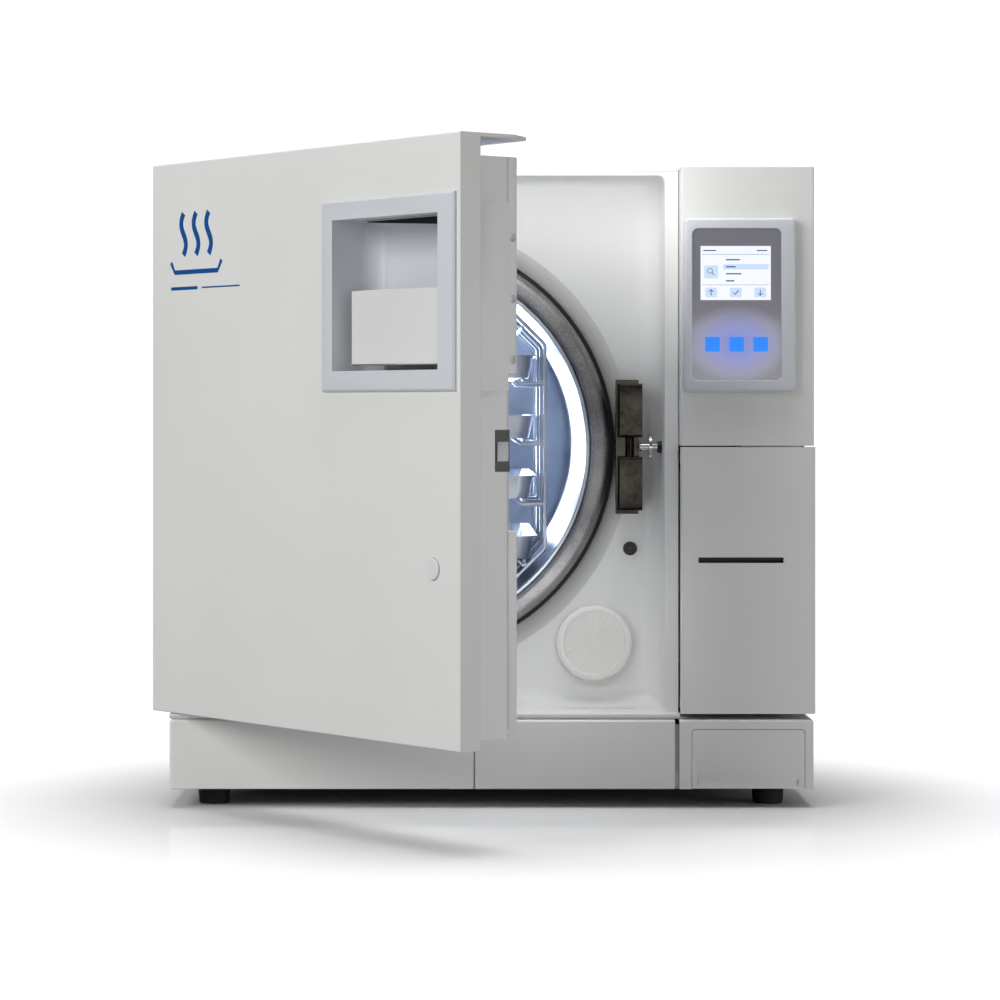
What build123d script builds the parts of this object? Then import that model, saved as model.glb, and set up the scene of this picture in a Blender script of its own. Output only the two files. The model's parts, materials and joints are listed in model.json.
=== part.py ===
"""Benchtop steam autoclave with a side-hinged door, an open chamber, trays, a display and a printer.

Millimetres, +X to the object's right, +Y to its back, +Z up. The origin is on the bench, at the
middle of the cabinet's footprint. The door stands part open in the rest pose.
"""
import os

from build123d import *

# ---- Driving dimensions ----
CABINET_W = 480.0
CABINET_D = 560.0
CABINET_TOP = 476.6
FOOT_H = 14.0
BASE_TOP = 65.8
COLUMN_LEFT = 141.0
COLUMN_TOP = 477.4
COLUMN_SPLIT = 269.3
SHELL = 2.5
SHEET = 1.5
RUN = 0.05
PANEL_FRONT = 61.0
RECESS_DEPTH = 75.0
RECESS_RIGHT = 130.4
RECESS_FLOOR = 70.0
RECESS_CEILING = 472.5
STRIP_DEPTH = 18.6
DOOR_SWING_X = -233.5

CHAMBER_X = -66.8
CHAMBER_Z = 268.2
CHAMBER_R = 140.0
CHAMBER_END = 430.0
FLANGE_R = 159.0
FLANGE_FRONT = 64.0
COUNTERSINK_R = 175.5

DOOR_W = 380.0
DOOR_BOTTOM = 70.8
DOOR_TOP = 480.0
DOOR_T = 60.0
DOOR_STEP = 50.5
DOOR_LATCH_SIDE = 367.5
DOOR_HINGE_SIDE = 26.0
DOOR_OPEN_DEG = 52.8
HINGE_X = -225.0
HINGE_DEPTH = 25.5
HINGE_PIN_R = 4.0
HINGE_LEVELS = (100.0, 442.0)

LOCK_X = 106.8
LOCK_GAP = 14.8
LOCK_BLOCK_H = 40.9
HOOK_PIVOT_U = 331.5
HOOK_PIVOT_T = 40.0
HOOK_H = 12.7

RACK_HALF = 109.2
RACK_CORNER = 30.6
RACK_DEPTHS = (86.5, 182.0, 278.0, 374.0)
WIRE_R = 1.5
SHELF_PITCH = 46.65
RUNNER_HALF = 93.0
TRAY_HALF = 104.0
TRAY_FOOT = 97.0
TRAY_H = 17.8
TRAY_FRONT = 87.0
TRAY_LENGTH = 288.0

BEZEL = (142.7, 226.2, 309.7, 439.2)
WINDOW = (148.9, 215.2, 318.6, 431.2)
LCD = (155.2, 207.4, 378.1, 418.3)
KEY_SIZE = 10.9
KEY_CENTRES = (164.1, 181.9, 199.85)
KEY_Z = 345.2
SLOT = (154.1, 217.6, 182.4, 185.6)
TEETH = 33
FLAP = (149.4, 233.3, 14.4, 58.3)
FLAP_PIVOT = (5.2, 19.0)
PLATEN_AXIS = (15.0, 176.0)
PAPER_AXIS = (35.0, 216.0)

BAY = (146.2, 235.0)
COVER_PIVOT = (5.5, 76.0)
LOCK_BOLT_DEPTH = 56.0
LOCK_BOLT_R = 3.1

FILTER_X = 79.5
FILTER_Z = 118.5
FILTER_R = 28.6
SENSOR_X = 107.4
SENSOR_Z = 190.0
SCOOP = (237.6, 358.8, 323.2, 427.5)
SCOOP_DEPTH = 38.0
HANDLE_PIVOT = (338.0, 28.0)
HANDLE_PIN_R = 3.0
BUTTON_U = 350.0
BUTTON_Z = 190.4
BUTTON_R = 7.35
TANK = (112.0, 232.0, 330.0, 548.0, 300.0, 472.0)
LID_HINGE_Z = 479.4
FAN_X = -150.0
FAN_Z = 150.0
INLET_X = 190.0
SWITCH_X = 140.0
INLET_Z = 96.0

# ---- Worked out from them ----
HALF_W = CABINET_W / 2
FRONT = -CABINET_D / 2
DOOR_LEFT = -HALF_W
FOOT_X = 209.0
FOOT_DEPTHS = (35.0, 525.0)
LID_HINGE_DEPTH = TANK[3] - 20
HINGE = (HINGE_X, FRONT + HINGE_DEPTH)


# ---- Shapes, with depths measured back from the cabinet's front plane ----
def block(x0, x1, d0, d1, z0, z1):
    """A box from its six planes."""
    place = Pos((x0 + x1) / 2, FRONT + (d0 + d1) / 2, (z0 + z1) / 2)
    return place * Box(x1 - x0, d1 - d0, z1 - z0)


def rod_x(x0, x1, depth, z, radius):
    """A round bar along X."""
    return Pos((x0 + x1) / 2, FRONT + depth, z) * Rot(0, 90, 0) * Cylinder(radius, x1 - x0)


def rod_y(x, d0, d1, z, radius):
    """A round bar along Y."""
    return Pos(x, FRONT + (d0 + d1) / 2, z) * Rot(90, 0, 0) * Cylinder(radius, d1 - d0)


def rod_z(x, depth, z0, z1, radius):
    """A round bar along Z."""
    return Pos(x, FRONT + depth, (z0 + z1) / 2) * Cylinder(radius, z1 - z0)


def ring_y(x, z, d0, d1, outer, inner):
    """A flat ring or tube about a line along Y."""
    return rod_y(x, d0, d1, z, outer) - rod_y(x, d0 - 1, d1 + 1, z, inner)


def turned_y(x, z, points):
    """A solid turned about a line along Y, from (radius, depth) points."""
    outline = Polyline(*[(radius, depth) for radius, depth in points], close=True)
    turned = revolve(make_face(outline), Axis.Y)
    return Pos(x, FRONT, z) * turned


def plan_prism(points, z0, z1):
    """An upright prism on (x, depth) points."""
    outline = Polyline(*[(x, FRONT + depth) for x, depth in points], close=True)
    return Pos(0, 0, z0) * extrude(make_face(outline), z1 - z0)


def upright_edges(solid):
    return solid.edges().filter_by(Axis.Z)


def vent_slots(x0, x1, d0, d1, z0, rows, pitch):
    """Cutters for a column of level vent slots, each half a pitch high."""
    return [block(x0, x1, d0, d1, z0 + pitch * row, z0 + pitch * (row + 0.5)) for row in range(rows)]


def on_door(u):
    """The X of a place on the closed door, from its hinge-side edge."""
    return DOOR_LEFT + u


def swung(piece):
    """A piece of the closed door, turned to where the door rests."""
    hinge_place = Pos(HINGE[0], HINGE[1], 0)
    return hinge_place * Rot(0, 0, -DOOR_OPEN_DEG) * hinge_place.inverse() * piece


# ---- Base ----
def base_pan():
    pan = block(-236.5, 236.5, 4, 556, FOOT_H, 62)
    pan -= block(-235, 235, 5.5, 554.5, FOOT_H + SHEET, 70)
    pan -= block(145, 236.6, 0, 46, FOOT_H - 1, 70)
    pan += block(143.5, 145, 5.5, 46, FOOT_H, 62)
    pan += block(143.5, 236.5, 46, 47.5, FOOT_H, 62)
    return pan


def base_cover(x0, x1, side_x):
    """A front cover of the base: front wall, top ledge, and a return along one side."""
    cover = block(x0, x1, 0, SHELL, FOOT_H, BASE_TOP)
    cover += block(x0, x1, 0, 60.5, BASE_TOP - SHELL, BASE_TOP)
    if side_x is not None:
        inner = side_x - SHELL if side_x > 0 else side_x + SHELL
        cover += block(min(side_x, inner), max(side_x, inner), 0, 60.5, FOOT_H, BASE_TOP)
        corner = upright_edges(cover).sort_by(Axis.Y)[:4].sort_by(Axis.X)
        cover = fillet(corner[-1] if side_x > 0 else corner[0], 2.2)
    front_top = cover.edges().filter_by(Axis.X).group_by(Axis.Z)[-1].sort_by(Axis.Y)[0]
    return chamfer(front_top, 1.4)


def flap_frame():
    frame = base_cover(140.0, HALF_W, HALF_W)
    opening = block(FLAP[0] - 0.35, FLAP[1] + 0.35, -2, 6, 5, FLAP[3] + 0.35)
    opening = fillet(opening.edges().filter_by(Axis.Y).group_by(Axis.Z)[-1], 3.3)
    frame -= opening
    for x in (FLAP[0] - 2.4, FLAP[1] + 0.4):
        ear = block(x, x + 2.0, SHELL, 9, FOOT_H + 0.5, 24)
        frame += ear - rod_x(x - 1, x + 3, *FLAP_PIVOT, 1.5 + RUN)
    return frame


def base_flap():
    flap = block(FLAP[0], FLAP[1], 0.1, 2.5, FLAP[2], FLAP[3])
    flap = fillet(flap.edges().filter_by(Axis.Y).group_by(Axis.Z)[-1], 3.0)
    for x in (153.7, 228.1):
        flap -= block(x - 0.5, x + 0.5, -1, 1.4, 17, 21)
    flap += block(FLAP[0] + 1.5, FLAP[1] - 1.5, 2.5, 3.8, 17.6, 20.4)
    flap += rod_x(FLAP[0] - 2.6, FLAP[1] + 2.6, *FLAP_PIVOT, 1.5)
    for x in (170.0, 190.0, 210.0):
        flap += block(x - 1, x + 1, 2.5, 4.2, 22, 54)
    return flap


def rubber_feet():
    feet = []
    for x in (-FOOT_X, FOOT_X):
        for depth in FOOT_DEPTHS:
            foot = Pos(x, FRONT + depth, FOOT_H / 2) * Cone(11.2, 12.4, FOOT_H)
            feet.append(fillet(foot.edges().sort_by(Axis.Z)[0], 1.2))
    return Compound(feet)


def drain_couplings():
    couplings = []
    for x in (173.0, 210.0):
        coupling = rod_y(x, 22, 46, 37, 9) + rod_y(x, 14, 24, 37, 6.5) + rod_y(x, 45, 70, 37, 5)
        couplings.append(coupling - rod_y(x, 10, 75, 37, 3))
    return Compound(couplings)


# ---- Cabinet panels ----
def side_panel(side):
    """A side panel with a return at its back edge and vents low down towards the back."""
    outer, inner, turned_in = side * HALF_W, side * (HALF_W - SHEET), side * (HALF_W - 14)
    panel = block(min(outer, inner), max(outer, inner), PANEL_FRONT, 557.5, FOOT_H, 475.2)
    panel += block(min(outer, turned_in), max(outer, turned_in), 556, 557.5, FOOT_H, 475.2)
    return panel - vent_slots(side * HALF_W - 4, side * HALF_W + 4, 395, 465, 110, 8, 10)


def top_cover():
    """The top sheet, with the tank opening and the eyes that hold the tank lid's hinge bar."""
    cover = block(-HALF_W, HALF_W, PANEL_FRONT, 560, 475.4, CABINET_TOP)
    cover += block(DOOR_SWING_X, 140.4, 21.5, PANEL_FRONT + 1, 475.4, CABINET_TOP)
    cover -= block(TANK[0] + 8, TANK[1] - 8, TANK[2] + 14, TANK[3] - 26, 470, 480)
    for x in (TANK[0] + 12, TANK[1] - 16):
        cover += block(x, x + 4, LID_HINGE_DEPTH - 3.3, LID_HINGE_DEPTH + 4, 475.8, 482.4)
    return cover - rod_x(TANK[0], TANK[1], LID_HINGE_DEPTH, LID_HINGE_Z, 2.0 + RUN)


def rear_panel():
    """The back sheet, with a fan guard, condenser vents and the mains module's openings."""
    panel = block(-HALF_W, HALF_W, 558, 560, 16, 475.2)
    for ring in (38.0, 26.0, 14.0):
        panel -= ring_y(FAN_X, FAN_Z, 555, 565, ring, ring - 6)
    for turn in (0, 45, 90, 135):
        panel += Pos(FAN_X, FRONT + 559, FAN_Z) * Rot(0, turn, 0) * Box(80, 2, 3)
    panel -= block(INLET_X - 13.7, INLET_X + 13.7, 550, 565, INLET_Z - 10.2, INLET_Z + 10.2)
    panel -= block(SWITCH_X - 11, SWITCH_X + 11, 550, 565, INLET_Z - 13.5, INLET_Z + 13.5)
    return panel - vent_slots(-200, -90, 550, 565, 300, 10, 12)


def recess_panel():
    tub = block(-238, RECESS_RIGHT + SHELL, STRIP_DEPTH, RECESS_DEPTH + 3, 66.2, 475.2)
    pocket = block(-300, RECESS_RIGHT, 0, RECESS_DEPTH, RECESS_FLOOR, RECESS_CEILING)
    rear = pocket.edges().filter_by(Plane.XZ).group_by(Axis.Y)[-1]
    pocket = fillet([rear.sort_by(Axis.Z)[0], rear.filter_by(Axis.Z).sort_by(Axis.X)[-1]], 18.0)
    rear = pocket.edges().filter_by(Axis.X).group_by(Axis.Y)[-1]
    tub -= fillet(rear.sort_by(Axis.Z)[-1], 5.0)
    tub -= block(-240, DOOR_SWING_X, 0, PANEL_FRONT, RECESS_CEILING - 1, 480)
    tub += block(RECESS_RIGHT, COLUMN_LEFT - 0.6, STRIP_DEPTH, STRIP_DEPTH + SHELL, 69.4, 475.2)
    lip = block(-HALF_W, COLUMN_LEFT - 0.6, 0.6, STRIP_DEPTH + 2, 66.2, RECESS_FLOOR)
    tub += chamfer(lip.edges().filter_by(Axis.X).group_by(Axis.Y)[0].sort_by(Axis.Z)[0], 2.6)
    wall = [(COUNTERSINK_R, RECESS_DEPTH), (COUNTERSINK_R + 3, RECESS_DEPTH + 1),
            (166.4, 89), (163, 89), (163, 87)]
    cone = turned_y(CHAMBER_X, CHAMBER_Z, wall)
    tub -= rod_y(CHAMBER_X, 60, 100, CHAMBER_Z, COUNTERSINK_R)
    tub += cone & block(-238, 200, 0, 200, 0, 475.2)
    tub -= rod_y(FILTER_X, 70, 80, FILTER_Z, 8.0)
    tub -= rod_y(SENSOR_X, 60, 80, SENSOR_Z, 5.3)
    tub -= rod_x(125, 140, LOCK_BOLT_DEPTH, CHAMBER_Z, 4.7)
    dish = Pos(83.5, FRONT + 45, RECESS_FLOOR) * extrude(Ellipse(28.5, 8.5), -1.4)
    tub -= dish
    tab = Pos(62, FRONT + 26, RECESS_FLOOR - 0.2) * extrude(RectangleRounded(26, 8, 3.5), 0.8)
    return tub + tab


def cabinet_screws():
    screws = []
    for x in (-228, -76, 76, 228):
        for z in (30, 240, 462):
            head = rod_y(x, 560, 562.2, z, 3.5) + rod_y(x, 550, 560, z, 1.4)
            screws.append(head - block(x - 2, x + 2, 561.2, 563, z - 0.4, z + 0.4))
    return Compound(screws)


# ---- Column ----
def column_housing():
    """The display half of the column, and the printer's bay below it with the cover's two pivots."""
    upper = block(COLUMN_LEFT, 240.3, 0, 60.5, COLUMN_SPLIT + 0.5, COLUMN_TOP)
    upper = fillet(upright_edges(upper).group_by(Axis.Y)[0], 1.6)
    upper -= block(COLUMN_LEFT + SHELL, 237.8, SHELL, 70, 272.3, COLUMN_TOP - SHELL)
    upper -= block(WINDOW[0] + 2, WINDOW[1] - 2, -5, 10, WINDOW[2] + 2, WINDOW[3] - 2)
    upper -= rod_x(138, 150, LOCK_BOLT_DEPTH, CHAMBER_Z, 4.6)
    upper -= block(144, 190, 42, 62, 268, 284)
    bay = block(BAY[0] - 2, BAY[1] + 2, 10, 60.5, 69.8, 250)
    bay -= block(BAY[0], BAY[1], 0, 58.5, 72.3, 247.5)
    bay -= rod_x(140, 242, COVER_PIVOT[0], COVER_PIVOT[1], 8.8)
    for x in (BAY[0] - 2, BAY[1]):
        depth, z = COVER_PIVOT
        arm = block(x, x + 2, depth, 17, z - 2.9, z + 2.9) + rod_x(x, x + 2, depth, z, 2.9)
        bay += arm - rod_x(140, 242, depth, z, 2.0 + RUN)
    bay += block(192, BAY[1] + 2, 57, 60.5, 249, 272)
    return upper + bay


def printer_cover():
    """The lower half of the column's front, which tips forward on two stub pins near its bottom."""
    left, right = COLUMN_LEFT, 241.3
    cover = block(left, right, 0, 7, 70.0, COLUMN_SPLIT - 0.5)
    cover = fillet(upright_edges(cover).group_by(Axis.Y)[0], 1.6)
    cover -= block(left + SHELL, right - SHELL, SHELL, 30, 60, COLUMN_SPLIT - 3)
    cover -= block(SLOT[0], SLOT[1], -2, 5, SLOT[2], SLOT[3] + 1.0)
    depth, z = COVER_PIVOT
    for x0, x1 in ((left, left + SHELL), (right - SHELL, right)):
        cover += rod_x(x0, x1, depth, z, 4.5)
    cover += rod_x(left + 0.5, BAY[0] + 1, depth, z, 2.0)
    return cover + rod_x(BAY[1] - 1, right - 0.5, depth, z, 2.0)


def tear_bar():
    """A blade across the slot's top edge with a row of teeth along it."""
    pitch = (SLOT[1] - SLOT[0]) / TEETH
    root, tip, top = SLOT[3] - 0.1, SLOT[3] - 1.5, SLOT[3] + 1.0
    points = [(SLOT[0], top)]
    for tooth in range(TEETH):
        points.append((SLOT[0] + pitch * tooth, root))
        points.append((SLOT[0] + pitch * (tooth + 0.5), tip))
    points += [(SLOT[1], root), (SLOT[1], top)]
    outline = make_face(Polyline(*points, close=True))
    return Pos(0, FRONT + 1.6, 0) * Rot(90, 0, 0) * extrude(outline, 1.2)


def platen_roller():
    return rod_x(152, 220, *PLATEN_AXIS, 4.0) + rod_x(149, 223, *PLATEN_AXIS, 1.5)


def paper_roll():
    return ring_x(157, 215, *PAPER_AXIS, 19.0, 6.0)


def ring_x(x0, x1, depth, z, outer, inner):
    """A tube about a line along X."""
    return rod_x(x0, x1, depth, z, outer) - rod_x(x0 - 1, x1 + 1, depth, z, inner)


def printer_mechanism():
    frame = block(147, 150, 10, 57, 160, 230) + block(222, 225, 10, 57, 160, 230)
    frame += block(147, 225, 24, 57, 160, 168) + block(148, 224, 22, 30, 166, 186)
    frame += rod_x(149, 223, *PAPER_AXIS, 5.7)
    frame -= rod_x(140, 230, *PLATEN_AXIS, 1.5 + RUN)
    return frame


def display_bezel():
    frame = block(BEZEL[0], BEZEL[1], -8, 0, BEZEL[2], BEZEL[3])
    frame = fillet(frame.edges().filter_by(Axis.Y), 4.0)
    frame = chamfer(frame.faces().sort_by(Axis.Y)[0].edges(), 1.6)
    opening = block(WINDOW[0], WINDOW[1], -10, 5, WINDOW[2], WINDOW[3])
    return frame - fillet(opening.edges().filter_by(Axis.Y), 4.5)


def display_window():
    window = block(WINDOW[0] + 0.1, WINDOW[1] - 0.1, -5.6, -4.2, WINDOW[2] + 0.1, WINDOW[3] - 0.1)
    return fillet(window.edges().filter_by(Axis.Y), 4.4)


def lcd_screen():
    return block(LCD[0], LCD[1], -4.1, -1.2, LCD[2], LCD[3])


def touch_keys():
    half = KEY_SIZE / 2
    return Compound([block(x - half, x + half, -4.1, -2.9, KEY_Z - half, KEY_Z + half) for x in KEY_CENTRES])


def control_boards():
    """The display's board in the column, and the main and power boards in the cabinet."""
    display_board = block(152, 212, -1.0, 0.8, 322, 428)
    main_board = block(176, 177.6, 70, 230, 300, 460) + block(152, 176.2, 90, 210, 330, 345)
    return Compound([display_board, main_board])


# ---- Chamber ----
def chamber_vessel():
    """A rolled shell, and the dished end with its two nozzles that is welded to it."""
    wall = 3.0
    outer = rod_y(CHAMBER_X, 66, CHAMBER_END, CHAMBER_Z, CHAMBER_R + wall)
    outer = fillet(outer.edges().sort_by(Axis.Y)[-1], 40)
    inner = rod_y(CHAMBER_X, 60, CHAMBER_END - wall, CHAMBER_Z, CHAMBER_R)
    inner = fillet(inner.edges().sort_by(Axis.Y)[-1], 38)
    vessel = outer - inner
    rolled = rod_y(CHAMBER_X, 60, CHAMBER_END - 41, CHAMBER_Z, 200)
    end = vessel - rolled
    for side in (-1, 1):
        end += rod_y(CHAMBER_X - side * 60, CHAMBER_END - 2, CHAMBER_END + 25, CHAMBER_Z + side * 70, 6)
    return Compound([*(vessel & rolled).solids(), *end.solids()])


def chamber_flange():
    inner = CHAMBER_R + 3.1
    flange = ring_y(CHAMBER_X, CHAMBER_Z, FLANGE_FRONT, 84, FLANGE_R, inner)
    front = flange.faces().sort_by(Axis.Y)[0].edges()
    flange = fillet(front.sort_by(SortBy.RADIUS)[-1], 6.0)
    front = flange.faces().filter_by(Plane.XZ).sort_by(Axis.Y)[0].edges()
    return fillet(front.sort_by(SortBy.RADIUS)[0], 4.0)


def flange_seal():
    return ring_y(CHAMBER_X, CHAMBER_Z, 80, 90, 162.6, FLANGE_R + 0.2)


def band_heater():
    band = ring_y(CHAMBER_X, CHAMBER_Z, 150, 370, CHAMBER_R + 5.5, CHAMBER_R + 3.2)
    band -= block(CHAMBER_X - 4, CHAMBER_X + 4, 140, 380, CHAMBER_Z, CHAMBER_Z + 200)
    for side in (-1, 1):
        x = CHAMBER_X + side * 5.5
        band += block(x - 1.5, x + 1.5, 150, 370, CHAMBER_Z + CHAMBER_R + 3.8, CHAMBER_Z + CHAMBER_R + 16)
    return band


def insulation_jacket():
    jacket = ring_y(CHAMBER_X, CHAMBER_Z, 96, 424, 167, CHAMBER_R + 6)
    return jacket - block(CHAMBER_X - 10, CHAMBER_X + 10, 90, 430, CHAMBER_Z, CHAMBER_Z + 200)


def steam_generator():
    x, depth = 172.0, 120.0
    boiler = rod_z(x, depth, 100, 255, 34)
    boiler = fillet(boiler.edges().filter_by(GeomType.CIRCLE), 10)
    boiler += rod_z(x, depth, 250, 268, 5)
    return boiler + rod_z(x + 16, depth, 90, 104, 6) + rod_z(x - 16, depth, 90, 104, 6)


def vacuum_pump():
    pump = rod_y(175, 200, 300, 70, 32) + rod_y(175, 296, 318, 70, 24)
    pump += block(140, 210, 205, 295, 18, 44) + block(160, 190, 215, 260, 98, 118)
    return pump


def condenser():
    """Level tubes through a stack of upright fins."""
    finned = None
    for fin in range(10):
        plate = block(156 + 7 * fin, 157 + 7 * fin, 365, 415, 120, 250)
        finned = plate if finned is None else finned + plate
    for level in range(5):
        finned += rod_x(150, 226, 390, 133 + 26 * level, 4)
    return finned


def fan_housing():
    frame = block(FAN_X - 46, FAN_X + 46, 530, 557.5, FAN_Z - 46, FAN_Z + 46)
    frame -= rod_y(FAN_X, 520, 570, FAN_Z, 41)
    frame += rod_y(FAN_X, 531, 537, FAN_Z, 14)
    for turn in (0, 60, 120):
        frame += Pos(FAN_X, FRONT + 533, FAN_Z) * Rot(0, turn, 0) * Box(84, 4, 5)
    return frame - rod_y(FAN_X, 520, 545, FAN_Z, 2.5 + RUN)


def fan_rotor():
    rotor = rod_y(FAN_X, 538.5, 554, FAN_Z, 15) + rod_y(FAN_X, 531, 540, FAN_Z, 2.5)
    for blade in range(7):
        vane = Pos(26, 0, 0) * Rot(38, 0, 0) * Box(26, 14, 1.6)
        rotor += Pos(FAN_X, FRONT + 546.5, FAN_Z) * Rot(0, blade * 360 / 7, 0) * vane
    return rotor


def water_tanks():
    tank = block(*TANK)
    tank = fillet(upright_edges(tank), 8)
    middle = (TANK[2] + TANK[3]) / 2
    for d0, d1 in ((TANK[2] + 3, middle - 1.5), (middle + 1.5, TANK[3] - 3)):
        tank -= block(TANK[0] + 3, TANK[1] - 3, d0, d1, TANK[4] + 3, TANK[5] + 5)
    return tank


def tank_lid():
    lid = block(TANK[0] + 3, TANK[1] - 3, TANK[2] + 6, LID_HINGE_DEPTH - 4.6, 477.0, 480.0)
    lid = fillet(upright_edges(lid).group_by(Axis.Y)[0], 8)
    lid += block(TANK[0] + 10, TANK[1] - 10, TANK[2] + 16, TANK[3] - 30, 474.5, 477.2)
    lid -= block(160, 184, TANK[2] + 8, TANK[2] + 15, 478.8, 481)
    for x in (TANK[0] + 22, TANK[1] - 42):
        lid += block(x, x + 20, LID_HINGE_DEPTH - 6, LID_HINGE_DEPTH, 477.6, 480.0)
    return lid + rod_x(TANK[0] + 11, TANK[1] - 11, LID_HINGE_DEPTH, LID_HINGE_Z, 2.0)


def solenoid_valves():
    valves = []
    for x in (-190, -150, 60):
        body = block(x - 12, x + 12, 470, 494, 380, 404) + rod_z(x, 482, 403, 432, 9)
        body += rod_x(x - 22, x + 22, 482, 391, 4)
        valves.append(body)
    return Compound(valves)


def safety_valve():
    valve = rod_y(CHAMBER_X, CHAMBER_END + 0.2, CHAMBER_END + 40, CHAMBER_Z, 9)
    valve += rod_y(CHAMBER_X, CHAMBER_END + 12, CHAMBER_END + 22, CHAMBER_Z, 13)
    return valve + ring_y(CHAMBER_X, CHAMBER_Z, CHAMBER_END + 42, CHAMBER_END + 45, 11, 7) + \
        rod_y(CHAMBER_X, CHAMBER_END + 38, CHAMBER_END + 45, CHAMBER_Z, 7.5)


# ---- Door lock on the cabinet ----
def lock_bracket():
    """Two jaws on a backing plate, with the upright pin between them that the hook catches."""
    half = LOCK_GAP / 2
    outer = half + LOCK_BLOCK_H
    bracket = block(96, 113.5, 68, RECESS_DEPTH - 0.2, CHAMBER_Z - outer - 3, CHAMBER_Z + outer + 3)
    for side in (-1, 1):
        z0, z1 = sorted((CHAMBER_Z + side * half, CHAMBER_Z + side * outer))
        jaw = block(LOCK_X - 8.7, LOCK_X + 8.7, 51.5, 69, z0, z1)
        bracket += fillet(jaw.edges().filter_by(Axis.X).group_by(Axis.Y)[0], 2.0)
    return bracket + rod_z(LOCK_X, 59, CHAMBER_Z - half - 2, CHAMBER_Z + half + 2, 3.0)


def lock_solenoid():
    """The coil in the column that drives the safety bolt, with a guide nose in the recess wall."""
    coil = block(147, 186, 44, 68, CHAMBER_Z - 13, CHAMBER_Z + 13)
    nose = rod_x(RECESS_RIGHT - 3.5, 148, LOCK_BOLT_DEPTH, CHAMBER_Z, 4.4)
    return coil + nose - rod_x(120, 180, LOCK_BOLT_DEPTH, CHAMBER_Z, LOCK_BOLT_R + RUN)


def lock_bolt():
    shaft = rod_x(113.6, 165, LOCK_BOLT_DEPTH, CHAMBER_Z, LOCK_BOLT_R)
    return shaft + rod_x(120.5, 122.7, LOCK_BOLT_DEPTH, CHAMBER_Z, 9.3)


def door_sensor():
    grommet = ring_y(SENSOR_X, SENSOR_Z, 72.5, 80, 5.1, 3.0)
    return Compound([grommet, rod_y(SENSOR_X, 71.5, 88, SENSOR_Z, 2.8)])


def air_filter():
    cup = turned_y(FILTER_X, FILTER_Z, [(0, 66), (23.8, 66), (23.8, 62), (26.5, 61.8), (FILTER_R, 63.2),
                                        (FILTER_R, 70.5), (25, 74.4), (6.0, 74.4), (6.0, 92), (0, 92)])
    for rib in range(24):
        blade = Pos(13.5, 0, 0) * Box(18, 1.2, 0.9)
        cup += Pos(FILTER_X, FRONT + 65.6, FILTER_Z) * Rot(0, rib * 15, 0) * blade
    return cup + rod_y(FILTER_X, 65.0, 67, FILTER_Z, 4.8)


# ---- Rack and trays ----
def rack_wire(depth):
    """One wire octagon with bent corners."""
    near, far = RACK_HALF - RACK_CORNER, RACK_HALF
    corners = [(far, near), (near, far), (-near, far), (-far, near),
               (-far, -near), (-near, -far), (near, -far), (far, -near)]
    places = [(CHAMBER_X + x, FRONT + depth, CHAMBER_Z + z) for x, z in corners]
    path = FilletPolyline(*places, radius=9, close=True)
    start = path @ 0
    section = Plane(origin=start, z_dir=path % 0) * Circle(WIRE_R)
    return sweep(section, path=path)


def shelf_levels():
    return [-88.5 + SHELF_PITCH * level for level in range(4)]


def tray_rack():
    """Four wire octagons with shelf stubs, spot-welded to a rail at each shelf and to corner rods."""
    stub_r = WIRE_R - 0.2
    touching = WIRE_R + stub_r
    corner = RACK_HALF - RACK_CORNER / 2 - touching * 0.5 ** 0.5
    wires = []
    for depth in RACK_DEPTHS:
        ring = rack_wire(depth)
        for level in shelf_levels():
            low = level - touching
            reach = RACK_HALF - max(0.0, abs(low) - (RACK_HALF - RACK_CORNER))
            for side in (-1, 1):
                x0, x1 = sorted((CHAMBER_X + side * 91, CHAMBER_X + side * reach))
                ring += rod_x(x0, x1, depth, CHAMBER_Z + low, stub_r)
        wires += ring.solids()
    first, last = RACK_DEPTHS[0] - 2, RACK_DEPTHS[-1] + 2
    for side in (-1, 1):
        for level in shelf_levels():
            wires.append(rod_y(CHAMBER_X + side * RUNNER_HALF, first, last, CHAMBER_Z + level, WIRE_R))
        for upper in (-1, 1):
            wires.append(rod_y(CHAMBER_X + side * corner, first, last, CHAMBER_Z + upper * corner, stub_r))
    return Compound(wires)


def tray(level):
    """A pressed tray with tapering sides, a rolled rim and drain holes in its floor."""
    floor = CHAMBER_Z + level + WIRE_R + 0.1
    middle = FRONT + TRAY_FRONT + TRAY_LENGTH / 2
    at_floor, at_rim = Pos(CHAMBER_X, middle, floor), Pos(CHAMBER_X, middle, floor + TRAY_H)
    outer = loft([at_floor * RectangleRounded(2 * TRAY_FOOT, TRAY_LENGTH - 12, 10),
                  at_rim * RectangleRounded(2 * TRAY_HALF - 6, TRAY_LENGTH - 2, 13)])
    inner = loft([at_floor * Pos(0, 0, 1) * RectangleRounded(2 * TRAY_FOOT - 2, TRAY_LENGTH - 14, 9),
                  at_rim * Pos(0, 0, 0.1) * RectangleRounded(2 * TRAY_HALF - 8, TRAY_LENGTH - 4, 12)])
    rim = RectangleRounded(2 * TRAY_HALF, TRAY_LENGTH, 15)
    rim -= RectangleRounded(2 * TRAY_HALF - 8.4, TRAY_LENGTH - 4.4, 12)
    body = outer - inner + at_rim * Pos(0, 0, -1) * extrude(rim, 1)
    holes = []
    for row in range(6):
        for column in range(5):
            x, depth = CHAMBER_X - 64 + 32 * column, TRAY_FRONT + 40 + 42 * row
            holes.append(rod_z(x, depth, floor - 1, floor + 3, 4))
    return body - holes


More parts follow.
